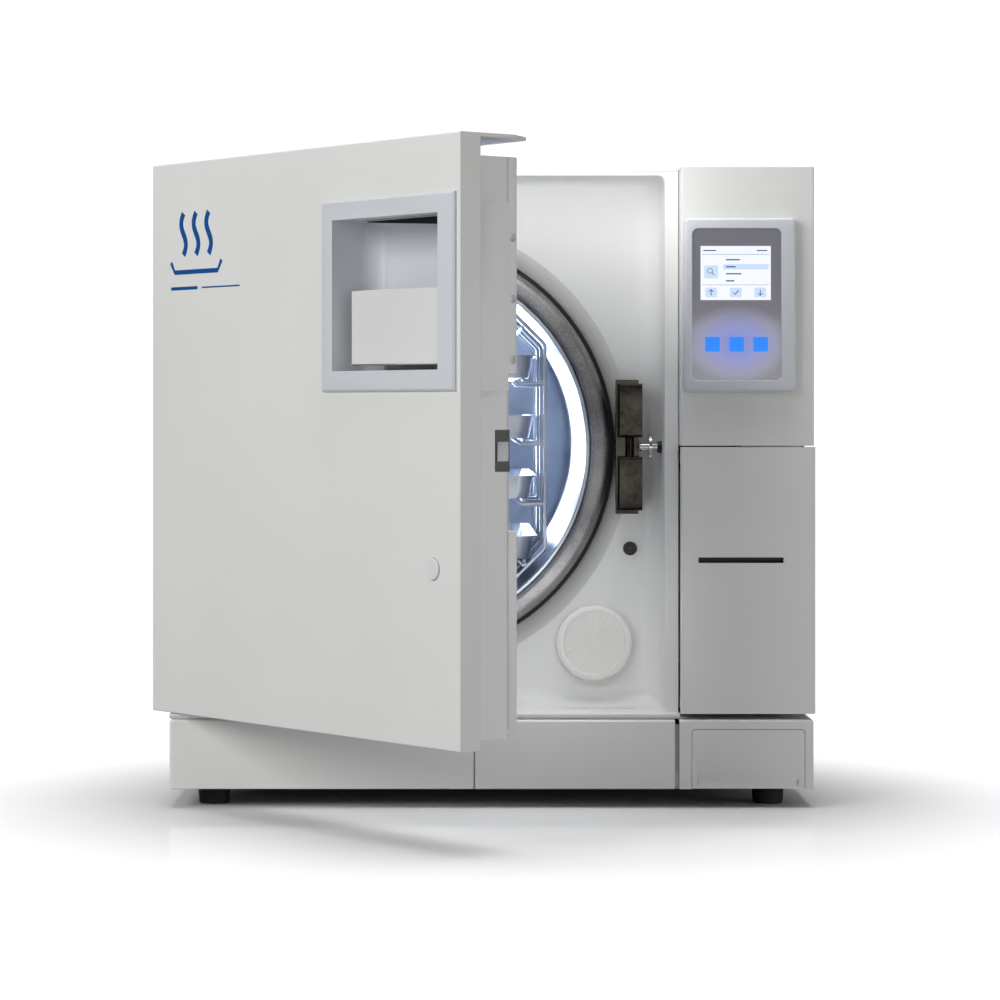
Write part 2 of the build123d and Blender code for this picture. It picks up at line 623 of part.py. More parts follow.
# ---- Hinge ----
def hinge_bracket():
    arms = []
    for level in HINGE_LEVELS:
        arm = block(HINGE_X - 6, HINGE_X + 6, HINGE_DEPTH, RECESS_DEPTH - 0.2, level - 5, level + 5)
        arm += rod_z(HINGE_X, HINGE_DEPTH, level - 5, level + 5, 7.5)
        arm += block(-236, -208, 71, RECESS_DEPTH - 0.2, level - 14, level + 14)
        arms.append(arm - rod_z(HINGE_X, HINGE_DEPTH, level - 10, level + 10, HINGE_PIN_R + RUN))
    return Compound(arms)


def hinge_pins():
    pins = []
    for level, up in zip(HINGE_LEVELS, (1, -1)):
        z0, z1 = sorted((level - up * 7, level + up * 16))
        pin = rod_z(HINGE_X, HINGE_DEPTH, z0, z1, HINGE_PIN_R)
        head = rod_z(HINGE_X, HINGE_DEPTH, min(level - up * 8.5, level - up * 5.2),
                     max(level - up * 8.5, level - up * 5.2), 6)
        pins.append(pin + head)
    return Compound(pins)


# ---- Door, drawn closed ----
def door_front_cover():
    cover = block(-HALF_W, on_door(DOOR_W), 0, SHELL, DOOR_BOTTOM, DOOR_TOP)
    flange = plan_prism([(-HALF_W, 0), (on_door(DOOR_W), 0), (on_door(DOOR_W), 45), (128, 65),
                         (-HALF_W, 65)], DOOR_TOP - 2.6, DOOR_TOP)
    cover += flange
    cover += block(-HALF_W, -HALF_W + SHELL, 0, 9, DOOR_BOTTOM + 5, DOOR_TOP)
    cover += block(on_door(DOOR_W) - SHELL, on_door(DOOR_W), 0, 17, DOOR_BOTTOM, DOOR_TOP)
    cover += block(on_door(DOOR_HINGE_SIDE), on_door(DOOR_W), 0, 17, DOOR_BOTTOM, DOOR_BOTTOM + SHELL)
    cover = fillet(cover.edges().filter_by(Axis.X).group_by(Axis.Y)[0], 1.2)
    cover -= block(on_door(SCOOP[0] - 2.4), on_door(SCOOP[1] + 2.4), -5, 10, SCOOP[2] - 2.4, SCOOP[3] + 2.4)
    cover -= rod_y(on_door(BUTTON_U), -5, 10, BUTTON_Z, BUTTON_R + 0.25)
    return cover


def door_inner_shell():
    left, right = on_door(DOOR_HINGE_SIDE), on_door(DOOR_LATCH_SIDE)
    bottom, top = 76.3, 466.0
    shell = block(left, right, SHELL + 0.1, DOOR_STEP, bottom, top)
    shell = fillet(upright_edges(shell).group_by(Axis.Y)[-1], 2.0)
    rear = block(left, right, DOOR_STEP - 0.5, DOOR_T, bottom, top)
    rear = fillet(upright_edges(rear).group_by(Axis.Y)[-1], 5.0)
    rear = fillet(rear.edges().filter_by(Axis.X).group_by(Axis.Y)[-1].sort_by(Axis.Z)[0], 8.0)
    shell += rear
    shell -= block(left + SHELL, right - SHELL, 0, DOOR_STEP - 2.4, bottom + SHELL, top - SHELL)
    shell -= rod_y(CHAMBER_X, 40, 70, CHAMBER_Z, 157)
    outer = LOCK_GAP / 2 + LOCK_BLOCK_H + 5.0
    shell -= block(92, 150, DOOR_STEP, 70, CHAMBER_Z - outer, CHAMBER_Z + outer)
    shell -= block(88, 150, 38.7, 70, 254.7, 283.3)
    for level in HINGE_LEVELS:
        shell -= block(-250, -206, 10, 80, level - 17, level + 17)
        shell += block(-208.5, -206, 2.6, 60, level - 17, level + 17)
        for side in (-1, 1):
            shell += block(-214, -206, 10, 60, level + side * 17 - 1.2, level + side * 17 + 1.2)
    for step in range(3):
        shell -= Pos(right, FRONT + 54, 330 + 41 * step) * Sphere(3)
    swell = plan_prism([(right - 1, 17.5), (on_door(369.8), 17.5), (right, 50), (right - 1, 50)], 309, 435)
    return shell + swell + knuckles()


def knuckles():
    """The two eyes by which the door turns on the hinge pins."""
    eyes = None
    for level, up in zip(HINGE_LEVELS, (1, -1)):
        z0, z1 = sorted((level + up * 5.6, level + up * 13.0))
        eye = rod_z(HINGE_X, HINGE_DEPTH, z0, z1, 7.5) + block(HINGE_X, -206.5, 19.5, 31.5, z0, z1)
        eye -= rod_z(HINGE_X, HINGE_DEPTH, 0, 500, HINGE_PIN_R + RUN)
        eyes = eye if eyes is None else eyes + eye
    return eyes


def door_lid():
    """The dished pressure plate that closes the chamber."""
    lid = rod_y(CHAMBER_X, 46, 60.4, CHAMBER_Z, 152)
    lid = fillet(lid.edges().sort_by(Axis.Y)[-1], 2.0)
    dish = rod_y(CHAMBER_X, 54, 70, CHAMBER_Z, 128)
    dish = fillet(dish.edges().sort_by(Axis.Y)[0], 5)
    lid -= dish
    lid -= ring_y(CHAMBER_X, CHAMBER_Z, 57, 70, 149.5, 143.0)
    for side in (-1, 1):
        rib = CHAMBER_X + side * 50
        lid += block(rib - 10, rib + 10, 30, 47.9, CHAMBER_Z - 168, CHAMBER_Z + 168)
    return lid + block(CHAMBER_X - 140, CHAMBER_X + 130, 34, 47, CHAMBER_Z - 16, CHAMBER_Z + 16)


def door_gasket():
    seal = ring_y(CHAMBER_X, CHAMBER_Z, 57.1, 61.5, 149.4, 143.1)
    return seal + turned_y(CHAMBER_X, CHAMBER_Z, [(144.6, 61), (148.2, 61), (147.6, 63.6), (145.2, 63.6)])


def handle_recess():
    """The framed scoop in the door that the handle stands in."""
    bezel = block(on_door(224), on_door(376), -3, 0, 309, 441)
    bezel = chamfer(bezel.faces().sort_by(Axis.Y)[0].edges(), 1.5)
    left, right, low, high = on_door(SCOOP[0]), on_door(SCOOP[1]), SCOOP[2], SCOOP[3]
    scoop = block(left - 2, right + 2, -1, SCOOP_DEPTH + 2, low - 2, high + 2)
    pocket = block(left, right, -8, SCOOP_DEPTH, low, high)
    rear = pocket.edges().filter_by(Plane.XZ).group_by(Axis.Y)[-1]
    hinge_side, top = rear.filter_by(Axis.Z).sort_by(Axis.X)[0], rear.filter_by(Axis.X).sort_by(Axis.Z)[-1]
    pocket = fillet([hinge_side, top], 16)
    recess = bezel + scoop - pocket
    recess -= block(on_door(250), on_door(350), 12, 20, high - 1, high + 5)
    recess += block(on_door(326), on_door(350), 24, SCOOP_DEPTH + 1, 380.2, 384.2)
    return recess - rod_z(on_door(HANDLE_PIVOT[0]), HANDLE_PIVOT[1], 300, 390, HANDLE_PIN_R + RUN)


def handle():
    """A pull plate whose latch-side end rolls back to its upright pivot."""
    def outline(grow):
        with BuildSketch() as sketch:
            with BuildLine():
                front, back = 8 + grow, 28.0
                Line((245 + grow, front), (338, front))
                RadiusArc((338, front), (358 - grow, back), 20 - grow)
                Line((358 - grow, back), (245 + grow, back))
                Line((245 + grow, back), (245 + grow, front))
            make_face()
        return sketch.sketch
    solid = Pos(DOOR_LEFT, FRONT, 327) * extrude(outline(0), 52)
    hollow = Pos(DOOR_LEFT, FRONT + 2, 324) * extrude(outline(3), 51.5)
    plate = solid - hollow
    plate = fillet(plate.edges().filter_by(Axis.X).group_by(Axis.Z)[-1].sort_by(Axis.Y)[0], 1.5)
    x, depth = on_door(HANDLE_PIVOT[0]), HANDLE_PIVOT[1]
    return plate + rod_z(x, depth, 327, 379, 5.5) + rod_z(x, depth, 318, 384, HANDLE_PIN_R)


def door_button():
    button = rod_y(on_door(BUTTON_U), -1.5, 6, BUTTON_Z, BUTTON_R)
    button = fillet(button.edges().sort_by(Axis.Y)[0], 0.8)
    return button + rod_y(on_door(BUTTON_U), 5.2, 7, BUTTON_Z, BUTTON_R + 2)


def lock_hook():
    """A turning claw: an arm out from its upright pivot, and an arc that goes behind the lock pin."""
    x, depth = on_door(HOOK_PIVOT_U), HOOK_PIVOT_T
    low, high = CHAMBER_Z - HOOK_H / 2, CHAMBER_Z + HOOK_H / 2
    arc = rod_z(x, depth, low, high, 32.5) - rod_z(x, depth, low - 1, high + 1, 28.2)
    sides = [Vector(40, 0).rotate(Axis.Z, turn) for turn in (-36, -14, 8)]
    wedge = [(x, depth)] + [(x + side.X, depth + side.Y) for side in sides]
    claw = arc & plan_prism(wedge, low - 1, high + 1)
    middle = (low + high) / 2
    arm = Pos(x, FRONT + depth, middle) * Rot(0, 0, -30) * Pos(15.5, 0, 0) * Box(31, 6.5, HOOK_H)
    return claw + arm + rod_z(x, depth, low - 7, high + 7, 5.5)


# ---- Electrical ----
def mains_inlet():
    """The three-pin inlet, and the frame beside it that the rocker switch turns in."""
    inlet = block(INLET_X - 13.5, INLET_X + 13.5, 545, 561.5, INLET_Z - 10, INLET_Z + 10)
    inlet += block(INLET_X - 17, INLET_X + 17, 560, 562, INLET_Z - 13, INLET_Z + 13)
    inlet -= block(INLET_X - 11, INLET_X + 11, 548, 570, INLET_Z - 7, INLET_Z + 7)
    for x, z in ((-7, -2), (0, 2), (7, -2)):
        inlet += block(INLET_X + x - 1, INLET_X + x + 1, 547, 559, INLET_Z + z - 2, INLET_Z + z + 2)
    frame = block(SWITCH_X - 13, SWITCH_X + 13, 560, 562, INLET_Z - 15.5, INLET_Z + 15.5)
    frame += block(SWITCH_X - 10.8, SWITCH_X + 10.8, 540, 560.5, INLET_Z - 13.3, INLET_Z + 13.3)
    frame -= block(SWITCH_X - 9, SWITCH_X + 9, 546, 570, INLET_Z - 12.2, INLET_Z + 12.2)
    return Compound([inlet, frame - rod_x(SWITCH_X - 10, SWITCH_X + 10, 555, INLET_Z, 1.5 + RUN)])


def power_switch():
    """A rocker with a shallow V-shaped face, on a pivot through its middle."""
    profile = [(558.0, -11.0), (563.6, -11.0), (560.8, 0.0), (563.6, 11.0), (558.0, 11.0), (552.6, 0.0)]
    outline = Plane.YZ * make_face(Polyline(*profile, close=True))
    rocker = Pos(SWITCH_X - 8.6, FRONT, INLET_Z) * extrude(outline, 17.2)
    return rocker + rod_x(SWITCH_X - 9.9, SWITCH_X + 9.9, 555, INLET_Z, 1.5)


FIXED = {
    "base_pan": base_pan, "flap_frame": flap_frame, "base_flap": base_flap, "rubber_feet": rubber_feet,
    "drain_couplings": drain_couplings, "top_cover": top_cover, "rear_panel": rear_panel,
    "recess_panel": recess_panel, "cabinet_screws": cabinet_screws, "column_housing": column_housing,
    "printer_cover": printer_cover, "tear_bar": tear_bar, "platen_roller": platen_roller,
    "paper_roll": paper_roll, "printer_mechanism": printer_mechanism, "display_bezel": display_bezel,
    "display_window": display_window, "lcd_screen": lcd_screen, "touch_keys": touch_keys,
    "control_boards": control_boards, "chamber_vessel": chamber_vessel, "chamber_flange": chamber_flange,
    "flange_seal": flange_seal, "band_heater": band_heater, "insulation_jacket": insulation_jacket,
    "steam_generator": steam_generator, "vacuum_pump": vacuum_pump, "condenser": condenser,
    "fan_housing": fan_housing, "fan_rotor": fan_rotor, "water_tanks": water_tanks, "tank_lid": tank_lid,
    "solenoid_valves": solenoid_valves, "safety_valve": safety_valve,
    "lock_bracket": lock_bracket, "lock_solenoid": lock_solenoid, "lock_bolt": lock_bolt,
    "door_sensor": door_sensor, "air_filter": air_filter, "tray_rack": tray_rack,
    "hinge_bracket": hinge_bracket, "hinge_pins": hinge_pins, "mains_inlet": mains_inlet,
    "power_switch": power_switch,
}
DOOR = {
    "door_front_cover": door_front_cover, "door_inner_shell": door_inner_shell, "door_lid": door_lid,
    "door_gasket": door_gasket, "handle_recess": handle_recess, "handle": handle,
    "door_button": door_button, "lock_hook": lock_hook,
}


def write(name, piece):
    piece.label = name
    export_step(piece, f"parts/{name}.step")


def build():
    os.makedirs("parts", exist_ok=True)
    for name, make in FIXED.items():
        write(name, make())
    write("base_front_left", base_cover(-HALF_W, -13.4, -HALF_W))
    write("base_front_right", base_cover(-12.6, 136.6, None))
    write("left_side_panel", side_panel(-1))
    write("right_side_panel", side_panel(1))
    for number, level in enumerate(reversed(shelf_levels()), start=1):
        write(f"tray_{number}", tray(level))
    for name, make in DOOR.items():
        write(name, swung(make()))


build()
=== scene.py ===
"""Looks for a benchtop steam autoclave: finishes, rounded edges, display, mark, rack wires, stage."""
import json
from math import cos, pi, radians, sin

import bmesh
import bpy
import numpy as np
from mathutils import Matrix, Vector


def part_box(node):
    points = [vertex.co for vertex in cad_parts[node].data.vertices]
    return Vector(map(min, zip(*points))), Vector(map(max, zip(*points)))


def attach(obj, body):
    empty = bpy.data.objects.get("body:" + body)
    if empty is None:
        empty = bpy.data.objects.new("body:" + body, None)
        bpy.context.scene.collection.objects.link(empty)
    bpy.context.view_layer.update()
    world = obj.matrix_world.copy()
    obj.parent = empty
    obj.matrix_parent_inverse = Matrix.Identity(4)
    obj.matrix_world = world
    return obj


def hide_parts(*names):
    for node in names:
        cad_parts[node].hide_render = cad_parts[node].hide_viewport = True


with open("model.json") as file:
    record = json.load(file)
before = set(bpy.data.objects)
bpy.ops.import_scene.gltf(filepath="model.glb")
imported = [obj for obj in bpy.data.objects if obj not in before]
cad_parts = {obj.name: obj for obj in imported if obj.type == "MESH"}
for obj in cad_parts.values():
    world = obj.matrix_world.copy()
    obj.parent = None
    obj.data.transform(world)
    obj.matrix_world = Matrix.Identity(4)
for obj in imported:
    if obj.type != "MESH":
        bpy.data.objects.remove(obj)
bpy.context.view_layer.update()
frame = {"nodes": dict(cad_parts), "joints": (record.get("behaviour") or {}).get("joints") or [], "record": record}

# ---- Places, in metres ----
MM = 0.001
BODY_OF = {node: body for body, nodes in frame["record"]["behaviour"]["bodies"].items() for node in nodes}
SLOT_OF = {part["node"]: part["material_slot"] for part in frame["record"]["subparts"]}
DOOR_JOINT = next(joint for joint in frame["joints"] if joint["name"] == "door_hinge")
HINGE = np.array(DOOR_JOINT["pos_m"])
OPENED = radians(DOOR_JOINT["range_deg"][0])
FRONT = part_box("base_front_left")[0].y
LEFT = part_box("base_front_left")[0].x
VESSEL_LOW, VESSEL_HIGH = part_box("chamber_vessel")
CHAMBER = np.array([(VESSEL_LOW.x + VESSEL_HIGH.x) / 2, VESSEL_LOW.y, (VESSEL_LOW.z + VESSEL_HIGH.z) / 2])
WINDOW_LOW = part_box("display_window")[0]
LCD_LOW, LCD_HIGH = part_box("lcd_screen")
KEYS_LOW, KEYS_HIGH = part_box("touch_keys")
RACK_LOW, RACK_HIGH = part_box("tray_rack")

# ---- Sizes of the chamber, its ring, the rack and the door's small parts, in millimetres ----
# Depths run back from the front face, places across start at its left edge, and heights start at the bench.
CHAMBER_R = 140.0
CHAMBER_WALL = 3.0
CHAMBER_MOUTH = 66.0
CHAMBER_STRAIGHT = 389.0
DISH_DEPTH = 38.0
FLANGE_FRONT, FLANGE_BACK = 64.0, 84.0
FLANGE_OUTER, FLANGE_INNER = 159.0, 143.1
FLANGE_OUTER_ROUND, FLANGE_INNER_ROUND = 6.0, 4.0
RACK_HALF = 109.2
RACK_CORNER = 30.6
RACK_DEPTHS = (86.5, 182.0, 278.0, 374.0)
RACK_BEND = 7.0
WIRE_R = 1.5
STUB_R = 1.3
RUNNER_HALF = 93.0
STUB_END = 91.6
TIP_REACH, TIP_RISE = 2.8, 2.6
HANDLE_HINGE_SIDE = 245.0
HANDLE_FRONT, HANDLE_BACK = 8.0, 28.0
HANDLE_LOW, HANDLE_HIGH = 327.2, 378.8
ROLL_START, ROLL_WIDTH = 326.0, 32.0
SCOOP_TOP = 427.2
SIDE_FACE = 367.5
SWELL_FOOT = 309.3
SWELL_FRONT, SWELL_DEPTH = 17.6, 32.0


def linear(red, green, blue):
    """A screen colour from 0 to 255 as the linear values that a shader takes."""
    return tuple((channel / 255) ** 2.2 for channel in (red, green, blue)) + (1.0,)


# ---- Camera, light and floor ----
def camera():
    data = bpy.data.cameras.new("camera")
    data.sensor_width, data.lens = 36.0, 116.1
    data.shift_x, data.shift_y = 0.055, -0.0896
    eye = bpy.data.objects.new("camera", data)
    eye.location = (-0.0347, -2.682, 0.2961)
    eye.rotation_euler = (pi / 2, 0, 0)
    bpy.context.scene.collection.objects.link(eye)
    bpy.context.scene.camera = eye


def softbox(name, place, aim, width, height, power, colour=(1, 1, 1)):
    data = bpy.data.lights.new(name, "AREA")
    data.shape, data.size, data.size_y = "RECTANGLE", width, height
    data.energy, data.color = power, colour
    lamp = bpy.data.objects.new(name, data)
    lamp.visible_camera = False
    lamp.location = place
    lamp.rotation_euler = (Vector(aim) - lamp.location).to_track_quat("-Z", "Y").to_euler()
    bpy.context.scene.collection.objects.link(lamp)


def surroundings():
    """White to the eye, and a dim cool grey as a source of light."""
    world = bpy.data.worlds.new("studio")
    bpy.context.scene.world = world
    world.use_nodes = True
    nodes, links = world.node_tree.nodes, world.node_tree.links
    nodes.clear()
    path = nodes.new("ShaderNodeLightPath")
    path.label = "What is looking"
    lit = nodes.new("ShaderNodeBackground")
    lit.label = "Dim room"
    lit.inputs["Color"].default_value = (0.96, 0.98, 1.0, 1)
    lit.inputs["Strength"].default_value = 0.11
    seen = nodes.new("ShaderNodeBackground")
    seen.label = "White backdrop"
    seen.inputs["Color"].default_value = (1, 1, 1, 1)
    seen.inputs["Strength"].default_value = 1.1
    either = nodes.new("ShaderNodeMixShader")
    either.label = "Backdrop or room"
    out = nodes.new("ShaderNodeOutputWorld")
    links.new(path.outputs["Is Camera Ray"], either.inputs["Fac"])
    links.new(lit.outputs["Background"], either.inputs[1])
    links.new(seen.outputs["Background"], either.inputs[2])
    links.new(either.outputs["Shader"], out.inputs["Surface"])
    for step, node in enumerate((path, lit, seen, either, out)):
        node.location = (step * 220, 0)


def studio():
    surroundings()
    softbox("left_softbox", (-1.7, -1.9, 1.2), (-0.1, -0.3, 0.25), 1.2, 1.2, 38)
    softbox("overhead_softbox", (0.0, -0.25, 2.4), (0.0, -0.25, 0.0), 1.3, 1.3, 34)
    softbox("right_fill", (1.9, -1.2, 0.35), (0.0, -0.40, 0.2), 0.7, 0.7, 8)
    softbox("low_fill", (0.3, -2.3, 0.12), (0.0, -0.3, 0.1), 0.6, 0.6, 2.4)
    softbox("filter_strip", (0.04, -0.34, 0.16), (0.02, -0.20, 0.10), 0.12, 0.03, 0.045)
    softbox("column_strip", (0.12, -0.40, 0.72), (0.12, -0.27, 0.42), 0.5, 0.05, 0.16)
    softbox("recess_strip", (0.03, -0.37, 0.455), (0.0, -0.20, 0.45), 0.20, 0.03, 0.11)
    softbox("chamber_glow", CHAMBER + (0.02, 0.30, 0.02), CHAMBER + (0.02, -0.4, 0.0), 0.18, 0.18, 1.35,
            (0.80, 0.88, 1.0))


def floor():
    reach = 9.0
    corners = [(-reach, -reach, 0), (reach, -reach, 0), (reach, reach, 0), (-reach, reach, 0)]
    mesh = bpy.data.meshes.new("floor")
    mesh.from_pydata(corners, [], [(0, 1, 2, 3)])
    plane = bpy.data.objects.new("floor", mesh)
    bpy.context.scene.collection.objects.link(plane)
    mesh.materials.append(floor_gloss())


def floor_gloss():
    """White acrylic sheet: matte white under a clear reflection, fading into the backdrop further out."""
    material = bpy.data.materials.new("floor_gloss")
    material.use_nodes = True
    nodes, links = material.node_tree.nodes, material.node_tree.links
    nodes.clear()
    place = nodes.new("ShaderNodeTexCoord")
    place.label = "Place on the floor"
    away = nodes.new("ShaderNodeVectorMath")
    away.label = "Distance from the object"
    away.operation = "DISTANCE"
    away.inputs[1].default_value = (0.0, -0.26, 0.0)
    fade = nodes.new("ShaderNodeMapRange")
    fade.label = "Fade to the backdrop"
    fade.interpolation_type = "SMOOTHSTEP"
    fade.inputs["From Min"].default_value = 0.20
    fade.inputs["From Max"].default_value = 0.50
    path = nodes.new("ShaderNodeLightPath")
    path.label = "What is looking"
    seen = nodes.new("ShaderNodeMath")
    seen.label = "Only to the eye"
    seen.operation = "MULTIPLY"
    white = nodes.new("ShaderNodeBsdfDiffuse")
    white.label = "White sheet"
    white.inputs["Color"].default_value = (0.93, 0.93, 0.93, 1)
    shine = nodes.new("ShaderNodeBsdfGlossy")
    shine.label = "Clear reflection"
    shine.inputs["Roughness"].default_value = 0.05
    shine.inputs["Color"].default_value = (1, 1, 1, 1)
    sheet = nodes.new("ShaderNodeMixShader")
    sheet.label = "Share of reflection"
    sheet.inputs["Fac"].default_value = 0.20
    dull = nodes.new("ShaderNodeBsdfDiffuse")
    dull.label = "Light lost to the room"
    dull.inputs["Color"].default_value = (0.36, 0.36, 0.37, 1)
    watched = nodes.new("ShaderNodeMixShader")
    watched.label = "White only to the eye"
    backdrop = nodes.new("ShaderNodeEmission")
    backdrop.label = "Backdrop white"
    backdrop.inputs["Color"].default_value = (1, 1, 1, 1)
    backdrop.inputs["Strength"].default_value = 1.1
    both = nodes.new("ShaderNodeMixShader")
    both.label = "Sheet or backdrop"
    out = nodes.new("ShaderNodeOutputMaterial")
    links.new(place.outputs["Object"], away.inputs[0])
    links.new(away.outputs["Value"], fade.inputs["Value"])
    links.new(fade.outputs["Result"], seen.inputs[0])
    links.new(path.outputs["Is Camera Ray"], seen.inputs[1])
    links.new(white.outputs["BSDF"], sheet.inputs[1])
    links.new(shine.outputs["BSDF"], sheet.inputs[2])
    links.new(seen.outputs["Value"], both.inputs["Fac"])
    links.new(path.outputs["Is Camera Ray"], watched.inputs["Fac"])
    links.new(dull.outputs["BSDF"], watched.inputs[1])
    links.new(sheet.outputs["Shader"], watched.inputs[2])
    links.new(watched.outputs["Shader"], both.inputs[1])
    links.new(backdrop.outputs["Emission"], both.inputs[2])
    links.new(both.outputs["Shader"], out.inputs["Surface"])
    for step, node in enumerate((place, away, fade, path, seen, white, shine, sheet, dull, watched,
                                 backdrop, both, out)):
        node.location = (step * 200, 0)
    return material


# ---- Finishes ----
def moulded_plastic(name, colour, roughness=0.42, drift=0.05, grain=0.06, through=0.0):
    """Moulded plastic: a slow drift of shade, a fine spark-eroded grain, and patches that shine more."""
    material = bpy.data.materials.new(name)
    material.use_nodes = True
    nodes, links = material.node_tree.nodes, material.node_tree.links
    nodes.clear()
    place = nodes.new("ShaderNodeTexCoord")
    place.label = "Place on the part"
    clouds = nodes.new("ShaderNodeTexNoise")
    clouds.label = "Slow drift of the moulding"
    clouds.inputs["Scale"].default_value = 7.0
    clouds.inputs["Detail"].default_value = 2.0
    shade = nodes.new("ShaderNodeMix")
    shade.label = "Drifting colour"
    shade.data_type = "RGBA"
    shade.inputs["A"].default_value = tuple(c * (1 - drift) for c in colour[:3]) + (1,)
    shade.inputs["B"].default_value = tuple(min(1.0, c * (1 + drift)) for c in colour[:3]) + (1,)
    sparks = nodes.new("ShaderNodeTexNoise")
    sparks.label = "Spark-eroded grain"
    sparks.inputs["Scale"].default_value = 1500.0
    sparks.inputs["Detail"].default_value = 3.0
    rub = nodes.new("ShaderNodeMapRange")
    rub.label = "Handled patches shine"
    rub.inputs["To Min"].default_value = roughness - 0.05
    rub.inputs["To Max"].default_value = roughness + 0.07
    bump = nodes.new("ShaderNodeBump")
    bump.label = "Grain depth"
    bump.inputs["Strength"].default_value = grain
    bump.inputs["Distance"].default_value = 0.0004
    skin = nodes.new("ShaderNodeBsdfPrincipled")
    skin.label = "Plastic skin"
    skin.inputs["IOR"].default_value = 1.46
    skin.inputs["Subsurface Weight"].default_value = through
    skin.inputs["Subsurface Radius"].default_value = (0.004, 0.004, 0.004)
    out = nodes.new("ShaderNodeOutputMaterial")
    links.new(place.outputs["Object"], clouds.inputs["Vector"])
    links.new(place.outputs["Object"], sparks.inputs["Vector"])
    links.new(clouds.outputs["Fac"], shade.inputs["Factor"])
    links.new(clouds.outputs["Fac"], rub.inputs["Value"])
    links.new(sparks.outputs["Fac"], bump.inputs["Height"])
    links.new(shade.outputs["Result"], skin.inputs["Base Color"])
    links.new(rub.outputs["Result"], skin.inputs["Roughness"])
    links.new(bump.outputs["Normal"], skin.inputs["Normal"])
    links.new(skin.outputs["BSDF"], out.inputs["Surface"])
    groups = (("Colour", (place, clouds, shade)), ("Grain", (sparks, bump)), ("Shine", (rub, skin, out)))
    for row, (title, members) in enumerate(groups):
        box = nodes.new("NodeFrame")
        box.label = title
        for step, node in enumerate(members):
            node.parent = box
            node.location = (step * 240, -row * 320)
    return material


def coated_sheet(name, colour):
    """Powder-coated sheet metal: fine orange peel under a satin paint."""
    material = bpy.data.materials.new(name)
    material.use_nodes = True
    nodes, links = material.node_tree.nodes, material.node_tree.links
    nodes.clear()
    place = nodes.new("ShaderNodeTexCoord")
    place.label = "Place on the sheet"
    peel = nodes.new("ShaderNodeTexNoise")
    peel.label = "Orange peel"
    peel.inputs["Scale"].default_value = 620.0
    peel.inputs["Detail"].default_value = 1.5
    haze = nodes.new("ShaderNodeTexNoise")
    haze.label = "Uneven coat"
    haze.inputs["Scale"].default_value = 5.0
    tone = nodes.new("ShaderNodeMix")
    tone.label = "Coat colour"
    tone.data_type = "RGBA"
    tone.inputs["A"].default_value = tuple(c * 0.95 for c in colour[:3]) + (1,)
    tone.inputs["B"].default_value = colour
    bump = nodes.new("ShaderNodeBump")
    bump.label = "Peel depth"
    bump.inputs["Strength"].default_value = 0.10
    bump.inputs["Distance"].default_value = 0.0006
    paint = nodes.new("ShaderNodeBsdfPrincipled")
    paint.label = "Powder coat"
    paint.inputs["Roughness"].default_value = 0.38
    paint.inputs["Coat Weight"].default_value = 0.15
    paint.inputs["Coat Roughness"].default_value = 0.25
    out = nodes.new("ShaderNodeOutputMaterial")
    links.new(place.outputs["Object"], peel.inputs["Vector"])
    links.new(place.outputs["Object"], haze.inputs["Vector"])
    links.new(haze.outputs["Fac"], tone.inputs["Factor"])
    links.new(peel.outputs["Fac"], bump.inputs["Height"])
    links.new(tone.outputs["Result"], paint.inputs["Base Color"])
    links.new(bump.outputs["Normal"], paint.inputs["Normal"])
    links.new(paint.outputs["BSDF"], out.inputs["Surface"])
    groups = (("Colour", (place, haze, tone)), ("Peel", (peel, bump)), ("Coat", (paint, out)))
    for row, (title, members) in enumerate(groups):
        box = nodes.new("NodeFrame")
        box.label = title
        for step, node in enumerate(members):
            node.parent = box
            node.location = (step * 240, -row * 320)
    return material


